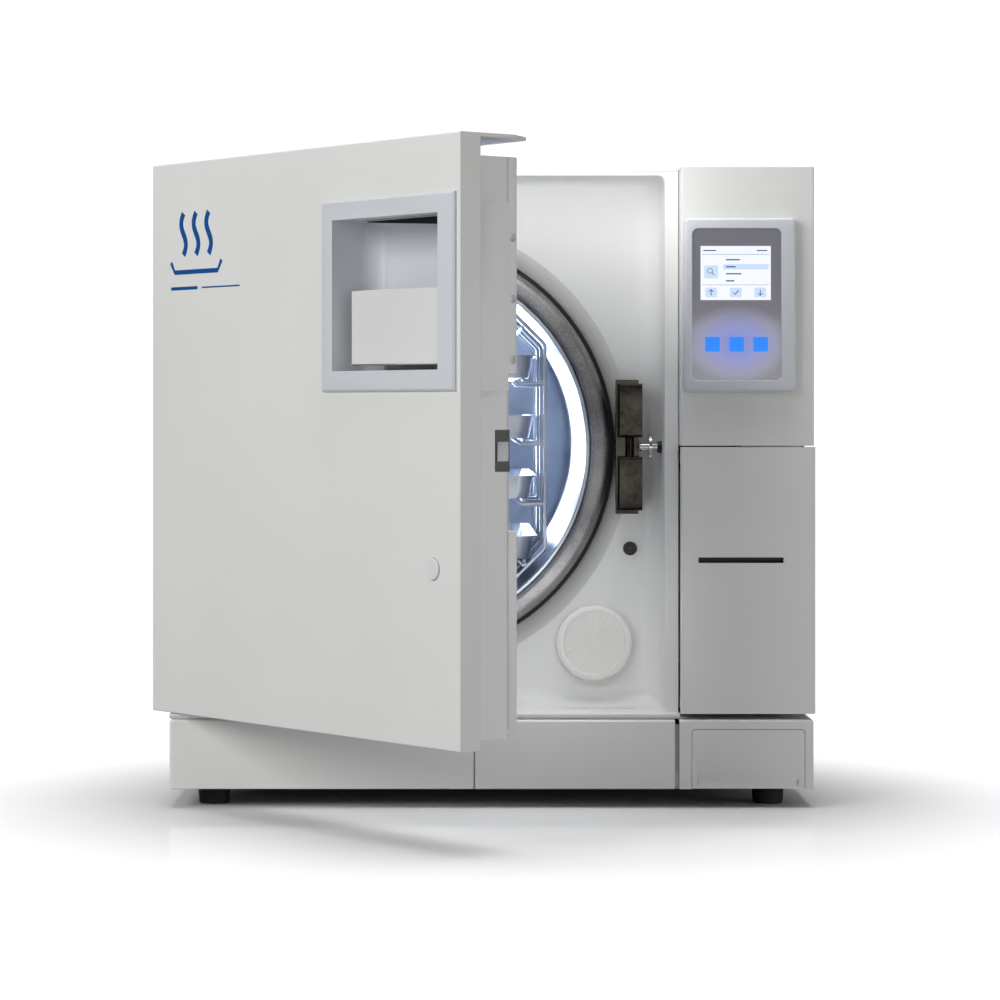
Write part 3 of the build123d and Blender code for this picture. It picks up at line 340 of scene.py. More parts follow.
def worked_metal(name, dark, light, roughness, grain, depth, stretch=(1, 1, 1), spread=0.12):
    """Bare metal: a mottled or drawn-out surface pattern that shifts colour, shine and height together."""
    material = bpy.data.materials.new(name)
    material.use_nodes = True
    nodes, links = material.node_tree.nodes, material.node_tree.links
    nodes.clear()
    place = nodes.new("ShaderNodeTexCoord")
    place.label = "Place on the metal"
    drawn = nodes.new("ShaderNodeMapping")
    drawn.label = "Direction of working"
    drawn.inputs["Scale"].default_value = stretch
    marks = nodes.new("ShaderNodeTexNoise")
    marks.label = "Tool marks"
    marks.inputs["Scale"].default_value = grain
    marks.inputs["Detail"].default_value = 5.0
    stains = nodes.new("ShaderNodeTexNoise")
    stains.label = "Broad mottling"
    stains.inputs["Scale"].default_value = 22.0
    stains.inputs["Detail"].default_value = 4.0
    blend = nodes.new("ShaderNodeMath")
    blend.label = "Marks and mottling"
    blend.operation = "MULTIPLY_ADD"
    blend.inputs[1].default_value = 0.5
    tone = nodes.new("ShaderNodeValToRGB")
    tone.label = "Metal tone"
    tone.color_ramp.elements[0].color, tone.color_ramp.elements[0].position = dark, 0.50
    tone.color_ramp.elements[1].color, tone.color_ramp.elements[1].position = light, 1.0
    shine = nodes.new("ShaderNodeMapRange")
    shine.label = "Uneven polish"
    shine.inputs["To Min"].default_value = roughness
    shine.inputs["To Max"].default_value = roughness + spread
    bump = nodes.new("ShaderNodeBump")
    bump.label = "Mark depth"
    bump.inputs["Strength"].default_value = depth
    bump.inputs["Distance"].default_value = 0.0003
    metal = nodes.new("ShaderNodeBsdfPrincipled")
    metal.label = "Bare metal"
    metal.inputs["Metallic"].default_value = 1.0
    out = nodes.new("ShaderNodeOutputMaterial")
    links.new(place.outputs["Object"], drawn.inputs["Vector"])
    links.new(drawn.outputs["Vector"], marks.inputs["Vector"])
    links.new(place.outputs["Object"], stains.inputs["Vector"])
    links.new(marks.outputs["Fac"], blend.inputs[0])
    links.new(stains.outputs["Fac"], blend.inputs[2])
    links.new(blend.outputs["Value"], tone.inputs["Fac"])
    links.new(marks.outputs["Fac"], shine.inputs["Value"])
    links.new(marks.outputs["Fac"], bump.inputs["Height"])
    links.new(tone.outputs["Color"], metal.inputs["Base Color"])
    links.new(shine.outputs["Result"], metal.inputs["Roughness"])
    links.new(bump.outputs["Normal"], metal.inputs["Normal"])
    links.new(metal.outputs["BSDF"], out.inputs["Surface"])
    groups = (("Pattern", (place, drawn, marks, stains, blend)), ("Colour", (tone,)),
              ("Polish", (shine, bump, metal, out)))
    for row, (title, members) in enumerate(groups):
        box = nodes.new("NodeFrame")
        box.label = title
        for step, node in enumerate(members):
            node.parent = box
            node.location = (step * 240, -row * 320)
    return material


def soft_rubber(name, colour, roughness=0.6):
    """Moulded rubber: matte, with a dusty bloom and a fine skin."""
    material = bpy.data.materials.new(name)
    material.use_nodes = True
    nodes, links = material.node_tree.nodes, material.node_tree.links
    nodes.clear()
    place = nodes.new("ShaderNodeTexCoord")
    place.label = "Place on the rubber"
    dust = nodes.new("ShaderNodeTexNoise")
    dust.label = "Bloom"
    dust.inputs["Scale"].default_value = 60.0
    dust.inputs["Detail"].default_value = 5.0
    tone = nodes.new("ShaderNodeMix")
    tone.label = "Bloomed colour"
    tone.data_type = "RGBA"
    tone.inputs["A"].default_value = colour
    tone.inputs["B"].default_value = tuple(c * 1.6 + 0.008 for c in colour[:3]) + (1,)
    skin = nodes.new("ShaderNodeTexNoise")
    skin.label = "Mould skin"
    skin.inputs["Scale"].default_value = 2200.0
    bump = nodes.new("ShaderNodeBump")
    bump.label = "Skin depth"
    bump.inputs["Strength"].default_value = 0.15
    bump.inputs["Distance"].default_value = 0.0003
    rubber = nodes.new("ShaderNodeBsdfPrincipled")
    rubber.label = "Rubber"
    rubber.inputs["Roughness"].default_value = roughness
    rubber.inputs["Specular IOR Level"].default_value = 0.35
    out = nodes.new("ShaderNodeOutputMaterial")
    links.new(place.outputs["Object"], dust.inputs["Vector"])
    links.new(place.outputs["Object"], skin.inputs["Vector"])
    links.new(dust.outputs["Fac"], tone.inputs["Factor"])
    links.new(skin.outputs["Fac"], bump.inputs["Height"])
    links.new(tone.outputs["Result"], rubber.inputs["Base Color"])
    links.new(bump.outputs["Normal"], rubber.inputs["Normal"])
    links.new(rubber.outputs["BSDF"], out.inputs["Surface"])
    groups = (("Colour", (place, dust, tone)), ("Skin", (skin, bump)), ("Rubber", (rubber, out)))
    for row, (title, members) in enumerate(groups):
        box = nodes.new("NodeFrame")
        box.label = title
        for step, node in enumerate(members):
            node.parent = box
            node.location = (step * 240, -row * 320)
    return material


def lit_panel():
    """The display's glass: violet-grey, glowing lavender-blue round the three keys."""
    material = bpy.data.materials.new("lit_panel")
    material.use_nodes = True
    nodes, links = material.node_tree.nodes, material.node_tree.links
    nodes.clear()
    middle = ((KEYS_LOW.x + KEYS_HIGH.x) / 2, 0.0, (KEYS_LOW.z + KEYS_HIGH.z) / 2)
    place = nodes.new("ShaderNodeTexCoord")
    place.label = "Place on the glass"
    about = nodes.new("ShaderNodeMapping")
    about.label = "Centred on the keys"
    about.inputs["Scale"].default_value = (1 / 0.040, 0.0, 1 / 0.030)
    about.inputs["Location"].default_value = (-middle[0] / 0.040, 0.0, -middle[2] / 0.030)
    away = nodes.new("ShaderNodeVectorMath")
    away.label = "Distance from the keys"
    away.operation = "LENGTH"
    halo = nodes.new("ShaderNodeValToRGB")
    halo.label = "Halo of the keys"
    ramp = halo.color_ramp
    ramp.elements[0].position, ramp.elements[0].color = 0.0, linear(112, 132, 226)
    ramp.elements[1].position, ramp.elements[1].color = 1.0, linear(128, 126, 136)
    ramp.elements.new(0.42).color = linear(142, 150, 220)
    ramp.elements.new(0.75).color = linear(150, 151, 180)
    speck = nodes.new("ShaderNodeTexNoise")
    speck.label = "Faint print grain"
    speck.inputs["Scale"].default_value = 900.0
    dapple = nodes.new("ShaderNodeMix")
    dapple.label = "Grain over the halo"
    dapple.data_type, dapple.blend_type = "RGBA", "MULTIPLY"
    dapple.inputs["Factor"].default_value = 0.06
    glass = nodes.new("ShaderNodeBsdfPrincipled")
    glass.label = "Gloss glass"
    glass.inputs["Roughness"].default_value = 0.12
    glass.inputs["Emission Strength"].default_value = 0.55
    glass.inputs["Coat Weight"].default_value = 0.6
    glass.inputs["Coat Roughness"].default_value = 0.04
    dim = nodes.new("ShaderNodeMix")
    dim.label = "Unlit body of the glass"
    dim.data_type, dim.blend_type = "RGBA", "MULTIPLY"
    dim.inputs["Factor"].default_value = 1.0
    dim.inputs["B"].default_value = (0.35, 0.35, 0.35, 1)
    out = nodes.new("ShaderNodeOutputMaterial")
    links.new(place.outputs["Object"], about.inputs["Vector"])
    links.new(about.outputs["Vector"], away.inputs[0])
    links.new(away.outputs["Value"], halo.inputs["Fac"])
    links.new(place.outputs["Object"], speck.inputs["Vector"])
    links.new(halo.outputs["Color"], dapple.inputs["A"])
    links.new(speck.outputs["Color"], dapple.inputs["B"])
    links.new(dapple.outputs["Result"], glass.inputs["Emission Color"])
    links.new(dapple.outputs["Result"], dim.inputs["A"])
    links.new(dim.outputs["Result"], glass.inputs["Base Color"])
    links.new(glass.outputs["BSDF"], out.inputs["Surface"])
    groups = (("Halo", (place, about, away, halo)), ("Print grain", (speck, dapple, dim)),
              ("Glass", (glass, out)))
    for row, (title, members) in enumerate(groups):
        box = nodes.new("NodeFrame")
        box.label = title
        for step, node in enumerate(members):
            node.parent = box
            node.location = (step * 240, -row * 320)
    return material


def glowing(name, low, high, strength):
    """A lit surface whose brightness drifts from cell to cell, under a thin gloss."""
    material = bpy.data.materials.new(name)
    material.use_nodes = True
    nodes, links = material.node_tree.nodes, material.node_tree.links
    nodes.clear()
    place = nodes.new("ShaderNodeTexCoord")
    place.label = "Place on the light"
    cells = nodes.new("ShaderNodeTexNoise")
    cells.label = "Uneven backlight"
    cells.inputs["Scale"].default_value = 40.0
    tone = nodes.new("ShaderNodeMix")
    tone.label = "Light colour"
    tone.data_type = "RGBA"
    tone.inputs["A"].default_value = low
    tone.inputs["B"].default_value = high
    glow = nodes.new("ShaderNodeBsdfPrincipled")
    glow.label = "Lit face"
    glow.inputs["Roughness"].default_value = 0.3
    glow.inputs["Base Color"].default_value = (0.02, 0.02, 0.02, 1)
    glow.inputs["Emission Strength"].default_value = strength
    out = nodes.new("ShaderNodeOutputMaterial")
    links.new(place.outputs["Object"], cells.inputs["Vector"])
    links.new(cells.outputs["Fac"], tone.inputs["Factor"])
    links.new(tone.outputs["Result"], glow.inputs["Emission Color"])
    links.new(glow.outputs["BSDF"], out.inputs["Surface"])
    groups = (("Backlight", (place, cells, tone)), ("Face", (glow, out)))
    for row, (title, members) in enumerate(groups):
        box = nodes.new("NodeFrame")
        box.label = title
        for step, node in enumerate(members):
            node.parent = box
            node.location = (step * 240, -row * 320)
    return material


FINISHES = {
    "white_cover": moulded_plastic("white_cover", linear(226, 226, 223), 0.40),
    "white_recess": moulded_plastic("white_recess", linear(240, 240, 238), 0.38),
    "painted_sheet": coated_sheet("painted_sheet", linear(224, 224, 222)),
    "zinc_sheet": worked_metal("zinc_sheet", linear(120, 122, 124), linear(190, 192, 196), 0.42, 60, 0.08),
    "cool_bezel": moulded_plastic("cool_bezel", linear(208, 212, 216), 0.36),
    "handle_shell": moulded_plastic("handle_shell", linear(222, 222, 221), 0.34),
    "polished_steel": worked_metal("polished_steel", linear(180, 189, 204), linear(226, 231, 240), 0.40, 40,
                                   0.05, (1, 0.15, 1), 0.10),
    "blasted_steel": worked_metal("blasted_steel", linear(112, 111, 112), linear(184, 183, 184), 0.40,
                                  700, 0.5),
    "dark_steel": worked_metal("dark_steel", linear(30, 28, 26), linear(64, 61, 57), 0.07, 300, 0.05),
    "bright_steel": worked_metal("bright_steel", linear(170, 170, 172), linear(236, 236, 238), 0.12,
                                 200, 0.08),
    "black_rubber": soft_rubber("black_rubber", (0.012, 0.012, 0.012, 1)),
    "silicone": soft_rubber("silicone", linear(225, 224, 215), 0.45),
    "black_plastic": moulded_plastic("black_plastic", (0.012, 0.012, 0.013, 1), 0.38, 0.2),
    "filter_plastic": moulded_plastic("filter_plastic", linear(244, 244, 240), 0.22, 0.02, 0.02, 0.25),
    "window_glass": lit_panel(),
    "lcd_glass": glowing("lcd_glass", linear(236, 242, 252), linear(250, 252, 255), 1.0),
    "blue_light": glowing("blue_light", linear(0, 118, 246), linear(10, 138, 255), 1.05),
    "green_board": moulded_plastic("green_board", (0.01, 0.09, 0.04, 1), 0.3, 0.3),
    "mica_band": worked_metal("mica_band", linear(120, 110, 96), linear(170, 160, 140), 0.45, 90, 0.2),
    "mineral_wool": soft_rubber("mineral_wool", linear(206, 196, 168), 0.9),
    "pump_casting": worked_metal("pump_casting", linear(60, 62, 66), linear(110, 112, 116), 0.5, 400, 0.4),
    "valve_brass": worked_metal("valve_brass", linear(168, 130, 62), linear(224, 188, 110), 0.25, 150, 0.1),
    "tank_plastic": moulded_plastic("tank_plastic", linear(222, 228, 230), 0.3, 0.03, 0.02, 0.2),
    "receipt_paper": soft_rubber("receipt_paper", linear(240, 240, 236), 0.8),
}
SCREEN_BLUE = glowing("screen_blue", linear(60, 110, 176), linear(70, 122, 186), 1.0)
SCREEN_NAVY = glowing("screen_navy", linear(22, 62, 126), linear(28, 70, 134), 1.0)
SCREEN_PALE = glowing("screen_pale", linear(196, 218, 244), linear(204, 224, 248), 1.0)
MARK_INK = moulded_plastic("mark_ink", linear(8, 78, 146), 0.35, 0.04)


# ---- Making pieces ----
def added(name, mesh, material, body, *nodes):
    """A new piece that rides on a body and, where nodes are named, stands for them."""
    piece = bpy.data.objects.new(name, mesh)
    bpy.context.scene.collection.objects.link(piece)
    mesh.materials.clear()
    mesh.materials.append(material)
    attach(piece, body)
    if nodes:
        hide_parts(*nodes)
    return piece


def grid_mesh(name, points, wrap_u=False, wrap_v=False, smooth=True):
    """Quads on points p(u, v) shaped (u, v, 3); a wrapped side joins its last row to its first."""
    count_u, count_v = points.shape[:2]
    u = np.arange(count_u if wrap_u else count_u - 1)
    v = np.arange(count_v if wrap_v else count_v - 1)
    u, v = (axis.ravel() for axis in np.meshgrid(u, v, indexing="ij"))
    next_u, next_v = (u + 1) % count_u, (v + 1) % count_v
    corners = [(u, v), (next_u, v), (next_u, next_v), (u, next_v)]
    quads = np.stack([row * count_v + column for row, column in corners], 1)
    mesh = bpy.data.meshes.new(name)
    mesh.vertices.add(count_u * count_v)
    mesh.vertices.foreach_set("co", points.reshape(-1, 3).astype(np.float32).ravel())
    mesh.loops.add(quads.size)
    mesh.loops.foreach_set("vertex_index", quads.ravel().astype(np.int32))
    mesh.polygons.add(len(quads))
    mesh.polygons.foreach_set("loop_start", np.arange(0, quads.size, 4, dtype=np.int32))
    mesh.polygons.foreach_set("use_smooth", np.full(len(quads), smooth))
    mesh.update(calc_edges=True)
    return mesh


def tidied(mesh, sharp_deg=35.0):
    """Doubles merged, faces turned outwards, and edges sharper than an angle kept crisp."""
    work = bmesh.new()
    work.from_mesh(mesh)
    bmesh.ops.remove_doubles(work, verts=work.verts, dist=2e-6)
    bmesh.ops.recalc_face_normals(work, faces=work.faces)
    work.to_mesh(mesh)
    work.free()
    mesh.shade_smooth()
    mesh.set_sharp_from_angle(angle=radians(sharp_deg))
    return mesh


def joined(name, meshes):
    """Several meshes as one, kept as separate shells."""
    work = bmesh.new()
    for mesh in meshes:
        work.from_mesh(mesh)
        bpy.data.meshes.remove(mesh)
    whole = bpy.data.meshes.new(name)
    work.to_mesh(whole)
    work.free()
    return tidied(whole)


def rounded_edges(node, width, segments=2, sharp_deg=38.0):
    """A copy of a CAD node, merged, with every sharp edge rolled over to a small radius."""
    mesh = frame["nodes"][node].data.copy()
    work = bmesh.new()
    work.from_mesh(mesh)
    bmesh.ops.remove_doubles(work, verts=work.verts, dist=4e-6)
    bmesh.ops.dissolve_limit(work, angle_limit=radians(0.4), verts=work.verts, edges=work.edges)
    work.to_mesh(mesh)
    work.free()
    mesh.shade_smooth()
    mesh.set_sharp_from_angle(angle=radians(sharp_deg))
    piece = added(node + "_finished", mesh, FINISHES[SLOT_OF[node]], BODY_OF[node], node)
    bevel = piece.modifiers.new("edges", "BEVEL")
    bevel.width, bevel.segments = width, segments
    bevel.limit_method, bevel.angle_limit = "ANGLE", radians(sharp_deg)
    bevel.use_clamp_overlap = True
    bevel.harden_normals = True
    return piece


def carried(path, section, closed=False):
    """Points of a section carried along a path: at each path point the section's first number runs along
    the level normal of the path and its second along the path's upright normal."""
    ahead = np.roll(path, -1, 0) - np.roll(path, 1, 0)
    if not closed:
        ahead[0], ahead[-1] = path[1] - path[0], path[-1] - path[-2]
    ahead /= np.linalg.norm(ahead, axis=1)[:, None]
    guide = np.array([0.0, 1.0, 0.0]) if abs(ahead[:, 1]).max() < 0.9 else np.array([0.0, 0.0, 1.0])
    across = np.cross(ahead, guide)
    across /= np.linalg.norm(across, axis=1)[:, None]
    upright = np.cross(across, ahead)
    return path[:, None] + across[:, None] * section[None, :, :1] + upright[:, None] * section[None, :, 1:]


def ring_section(radius, count=10):
    turn = np.linspace(0, 2 * pi, count, endpoint=False)
    return radius * np.stack([np.cos(turn), np.sin(turn)], 1)


def wire(path, radius, closed=False, count=10):
    """A round wire along a path, with domed ends where it is open."""
    path = np.asarray(path, float)
    points = carried(path, ring_section(radius, count), closed)
    if closed:
        return grid_mesh("wire", points, wrap_u=True, wrap_v=True)
    dome = np.cos(np.linspace(0, pi / 2, 4))[1:]
    reach = np.sin(np.linspace(0, pi / 2, 4))[1:]
    start, end = path[0] - path[1], path[-1] - path[-2]
    start, end = start / np.linalg.norm(start), end / np.linalg.norm(end)
    first = [path[0] + (points[0] - path[0]) * d + start * radius * r for d, r in zip(dome, reach)]
    last = [path[-1] + (points[-1] - path[-1]) * d + end * radius * r for d, r in zip(dome, reach)]
    return grid_mesh("wire", np.concatenate([np.array(first[::-1]), points, np.array(last)]), wrap_v=True)


def bent(corners, radius, steps=6, closed=False):
    """A path of straight runs with an arc of equal tangent length at each corner."""
    corners = [np.asarray(corner, float) for corner in corners]
    count = len(corners)
    points = [] if closed else [corners[0]]
    for index in (range(count) if closed else range(1, count - 1)):
        before, here, after = corners[index - 1], corners[index], corners[(index + 1) % count]
        back, on = before - here, after - here
        back, on = back / np.linalg.norm(back), on / np.linalg.norm(on)
        half = np.arccos(np.clip(back @ on, -1, 1)) / 2
        tangent = radius / np.tan(half)
        middle = here + (back + on) / np.linalg.norm(back + on) * radius / np.sin(half)
        start, end = here + back * tangent - middle, here + on * tangent - middle
        sweep = pi - 2 * half
        for share in np.linspace(0, 1, steps):
            turned = (np.sin((1 - share) * sweep) * start + np.sin(share * sweep) * end) / np.sin(sweep)
            points.append(middle + turned)
    if not closed:
        points.append(corners[-1])
    return np.array(points)


def stroke(points, width, near, far):
    """A flat printed line of a given width along (x, z) points, between two depths."""
    points = np.asarray(points, float)
    path = np.stack([points[:, 0], np.full(len(points), (near + far) / 2), points[:, 1]], 1)
    half, thick = width / 2, (far - near) / 2
    section = np.array([(-half, -thick), (half, -thick), (half, thick), (-half, thick)])
    body = carried(path, section)
    ends = [body[:1].mean(1, keepdims=True).repeat(4, 1), body, body[-1:].mean(1, keepdims=True).repeat(4, 1)]
    return grid_mesh("stroke", np.concatenate(ends), wrap_v=True, smooth=False)


def plate(x0, x1, z0, z1, near, far, corner=0.0006, steps=5):
    """A thin plate with rounded corners: a squared loop of arcs, run from its middle out over the rim."""
    turn = np.concatenate([np.linspace(q * pi / 2, (q + 1) * pi / 2, steps) for q in range(4)])
    quarter = np.repeat(np.arange(4), steps)
    side_x = np.where((quarter == 0) | (quarter == 3), x1 - corner, x0 + corner)
    side_z = np.where(quarter < 2, z1 - corner, z0 + corner)
    loop = np.stack([side_x + corner * np.cos(turn), np.zeros_like(turn), side_z + corner * np.sin(turn)], 1)
    middle = np.array([(x0 + x1) / 2, 0, (z0 + z1) / 2])
    rows = [np.tile(middle, (len(turn), 1)), loop, loop, np.tile(middle, (len(turn), 1))]
    for row, depth in zip(rows, (near, near, far, far)):
        row[:, 1] = depth
    return grid_mesh("plate", np.array([row.copy() for row in rows]), wrap_v=True, smooth=False)


# ---- Display ----
def display():
    """The screen's picture: a header, a list, an icon tile and three key symbols, then the lit keys."""
    face = WINDOW_LOW.y
    near, far = face - 0.10 * MM, face - 0.02 * MM
    screen = plate(LCD_LOW.x, LCD_HIGH.x, LCD_LOW.z, LCD_HIGH.z, near, far, 0.3 * MM)
    added("screen_face", joined("screen_face", [screen]), FINISHES["lcd_glass"], "cabinet", "lcd_screen")
    keys = []
    size = KEYS_HIGH.z - KEYS_LOW.z
    for share in (0.0, 0.5, 1.0):
        x = KEYS_LOW.x + share * (KEYS_HIGH.x - KEYS_LOW.x - size)
        keys.append(plate(x, x + size, KEYS_LOW.z, KEYS_HIGH.z, near, far, 0.4 * MM))
    added("key_lights", joined("key_lights", keys), FINISHES["blue_light"], "cabinet", "touch_keys")
    near, far = face - 0.16 * MM, face - 0.10 * MM
    left, top = LCD_LOW.x, LCD_HIGH.z
    wide, high = LCD_HIGH.x - LCD_LOW.x, LCD_HIGH.z - LCD_LOW.z

    def line(x0, x1, z, thick):
        level = top - z * high
        return stroke([(left + x0 * wide, level), (left + x1 * wide, level)], thick, near, far)

    def tile(x0, x1, z0, z1, corner):
        return plate(left + x0 * wide, left + x1 * wide, top - z0 * high, top - z1 * high, near, far, corner)

    pale = [tile(0.32, 0.97, 0.435, 0.335, 0.6 * MM), tile(0.05, 0.25, 0.60, 0.36, 1.0 * MM)]
    for middle in (0.15, 0.5, 0.85):
        pale.append(tile(middle - 0.085, middle + 0.085, 0.95, 0.77, 1.0 * MM))
    added("screen_tiles", joined("screen_tiles", pale), SCREEN_PALE, "cabinet")
    near, far = near - 0.06 * MM, near
    navy = [line(0.04, 0.22, 0.085, 0.8 * MM), line(0.80, 0.95, 0.085, 0.8 * MM)]
    for row, length in enumerate((0.20, 0.14, 0.22, 0.12)):
        navy.append(line(0.36, 0.36 + length, 0.255 + 0.13 * row, 0.95 * MM))
    turn = np.linspace(0, 2 * pi, 25)
    x, z = left + 0.135 * wide, top - 0.46 * high
    lens = np.stack([x + 1.8 * MM * np.cos(turn), z + 1.8 * MM * np.sin(turn)], 1)
    navy.append(stroke(lens, 0.4 * MM, near, far))
    navy.append(stroke([(x + 1.3 * MM, z - 1.3 * MM), (x + 3.0 * MM, z - 3.0 * MM)], 0.6 * MM, near, far))
    z = top - 0.86 * high
    for middle, lean in ((0.15, 1), (0.85, -1)):
        x = left + middle * wide
        navy.append(stroke([(x, z - 2.2 * MM), (x, z + 2.2 * MM)], 0.6 * MM, near, far))
        navy.append(stroke([(x - 1.7 * MM, z + lean * 0.5 * MM), (x, z + lean * 2.2 * MM),
                            (x + 1.7 * MM, z + lean * 0.5 * MM)], 0.6 * MM, near, far))
    x = left + 0.5 * wide
    navy.append(stroke([(x - 2.0 * MM, z), (x - 0.5 * MM, z - 1.6 * MM), (x + 2.1 * MM, z + 1.8 * MM)],
                       0.7 * MM, near, far))
    added("screen_symbols", joined("screen_symbols", navy), SCREEN_NAVY, "cabinet")
    rules = [line(0.02, 0.98, level, 0.3 * MM) for level in (0.155, 0.72)]
    added("screen_rule", joined("screen_rule", rules), SCREEN_BLUE, "cabinet")


# ---- The mark on the door ----
def on_open_door(points):
    """Points given on the closed door, turned about the hinge to where the door rests."""
    turned = points - HINGE
    x = turned[..., 0] * cos(OPENED) - turned[..., 1] * sin(OPENED)
    y = turned[..., 0] * sin(OPENED) + turned[..., 1] * cos(OPENED)
    return np.stack([x, y, turned[..., 2]], -1) + HINGE


def door_mark():
    """Three rising waves of steam over a shallow tray, with a thin rule below."""
    near, far = FRONT - 0.12 * MM, FRONT + 0.05 * MM
    rise = np.linspace(0, 1, 33)
    strokes = []
    for column in range(3):
        x = LEFT + (43 + 17 * column) * MM + 3.2 * MM * np.sin(2 * pi * rise)
        strokes.append(stroke(np.stack([x, (411 + 31 * rise) * MM], 1), 5.2 * MM, near, far))
    lines = (([(26, 406), (31, 398.5), (89, 398.5), (94, 406)], 3.4), ([(26, 386.5), (62, 386.5)], 2.4),
             ([(68, 386.5), (118, 386.5)], 1.1))
    for points, width in lines:
        places = [(LEFT + x * MM, z * MM) for x, z in points]
        strokes.append(stroke(places, width * MM, near, far))
    mesh = joined("door_mark", strokes)
    places = np.empty(len(mesh.vertices) * 3, np.float32)
    mesh.vertices.foreach_get("co", places)
    opened = on_open_door(places.reshape(-1, 3).astype(float))
    mesh.vertices.foreach_set("co", opened.astype(np.float32).ravel())
    mesh.update()
    added("door_mark", mesh, MARK_INK, "door")


# ---- Door details ----
def door_prism(outline, z0, z1):
    """A closed (u, depth) outline on the shut door, carried from z0 to z1 and swung open with the door.
    z0 may be one height or one for each point of the outline."""
    outline = np.asarray(outline, float)
    ring = np.stack([LEFT + outline[:, 0] * MM, FRONT + outline[:, 1] * MM], 1)
    levels = [np.broadcast_to(level, len(ring)) * MM for level in (z0, z1)]
    sides = np.stack([np.column_stack([ring, level]) for level in levels])
    caps = [np.tile([*ring.mean(0), level.mean()], (len(ring), 1)) for level in levels]
    points = np.stack([caps[0], *sides, caps[1]])
    count = points.shape[0]
    return tidied(grid_mesh("prism", on_open_door(points.reshape(-1, 3)).reshape(count, -1, 3), wrap_v=True))


def pull_handle():
    """The grip: flat, then rolled back over a quarter of an ellipse, u = start + width sin t and
    depth = back - thick cos t."""
    turn = np.linspace(0, pi / 2, 16)
    thick, edge = HANDLE_BACK - HANDLE_FRONT, 1.5
    rolled = np.stack([ROLL_START + ROLL_WIDTH * np.sin(turn), HANDLE_BACK - thick * np.cos(turn)], 1)
    side, front = HANDLE_HINGE_SIDE + edge, HANDLE_FRONT + edge
    near = np.stack([side - edge * np.sin(turn[::3]), front - edge * np.cos(turn[::3])], 1)[::-1]
    outline = np.concatenate([near, rolled, [(HANDLE_HINGE_SIDE, HANDLE_BACK)]])
    grip = door_prism(outline, HANDLE_LOW, HANDLE_HIGH)
    piece = added("pull_handle", grip, FINISHES[SLOT_OF["handle"]], "handle", "handle")
    bevel = piece.modifiers.new("edges", "BEVEL")
    bevel.width, bevel.segments = 1.0 * MM, 2
    bevel.limit_method, bevel.angle_limit = "ANGLE", radians(38)


def door_plate(name, finish, u0, u1, depth0, depth1, z0, z1):
    """A flat plate on the door between two places across, two depths and two heights."""
    outline = [(u0, depth0), (u1, depth0), (u1, depth1), (u0, depth1)]
    added(name, door_prism(outline, z0, z1), FINISHES[finish], "door")


def swell_foot():
    """The ramp under the swell on the door's side. With s from 0 at the front to 1 at the back, its foot is
    at z = top - 9.5 (1 - s)^1.4 and its upper edge stands out by 2.3 (1 - s)."""
    share = np.linspace(0, 1, 9)
    depth = SWELL_FRONT + SWELL_DEPTH * share
    foot = SWELL_FOOT - 9.5 * (1 - share) ** 1.4
    proud = SIDE_FACE - 0.1 + 2.3 * (1 - share)
    top = np.full_like(share, SWELL_FOOT)
    inside, face = np.full_like(share, SIDE_FACE - 0.6), np.full_like(share, SIDE_FACE)
    corners = [(inside, foot), (face, foot), (proud, top), (inside, top)]
    rows = [np.column_stack([LEFT + u * MM, FRONT + depth * MM, z * MM]) for u, z in corners]
    points = np.stack(rows, 1)
    ends = [np.tile(points[side].mean(0), (4, 1))[None] for side in (0, -1)]
    points = np.concatenate([ends[0], points, ends[1]])
    mesh = grid_mesh("swell_foot", on_open_door(points.reshape(-1, 3)).reshape(points.shape), wrap_v=True)
    added("swell_foot", tidied(mesh, 25.0), FINISHES[SLOT_OF["door_inner_shell"]], "door")


def door_details():
    """The black strip at the head of the scoop, which is painted shadow for the slit in shade; the hook's pocket,
    a black sheet of painted shade; the latch plate; and the swell's foot.
    """
    head = np.array([426.4, 420.3, 420.3, 426.4])
    # Painted shadow: a black plastic strip under the scoop's ceiling stands in for the shade in the slit there.
    door_plate("scoop_shadow_strip", "black_plastic", 247, 358.4, 20.8, 21.6, head, SCOOP_TOP)
    # Painted shade: a thin black sheet stands in for the dark hollow of the hook's pocket.
    door_plate("hook_pocket_shade", "black_plastic", SIDE_FACE - 0.6, SIDE_FACE - 0.1, 39.0, 51.3, 255.0, 283.0)
    door_plate("hook_plate", "zinc_sheet", SIDE_FACE - 0.2, SIDE_FACE + 0.4, 40.5, 50.0, 262.0, 275.0)
    swell_foot()


# ---- Chamber and rack ----
def turned(name, section, steps=144):
    """A closed (radius, depth) section turned about the chamber's axis, steps round."""
    section = np.asarray(section, float) * MM
    turn = np.linspace(0, 2 * pi, steps, endpoint=False)
    across = CHAMBER[0] + section[:, :1] * np.cos(turn)
    depth = np.repeat(FRONT + section[:, 1:], steps, 1)
    upright = CHAMBER[2] + section[:, :1] * np.sin(turn)
    return tidied(grid_mesh(name, np.stack([across, depth, upright], 2), wrap_u=True, wrap_v=True), 30.0)


def rounded_corner(radius, middle, start, steps=6):
    """A quarter turn of (radius, depth) points about a middle, clockwise from the start angle in degrees."""
    turn = np.radians(np.linspace(start, start + 90, steps))
    return np.stack([middle[0] + radius * np.cos(turn), middle[1] + radius * np.sin(turn)], 1)


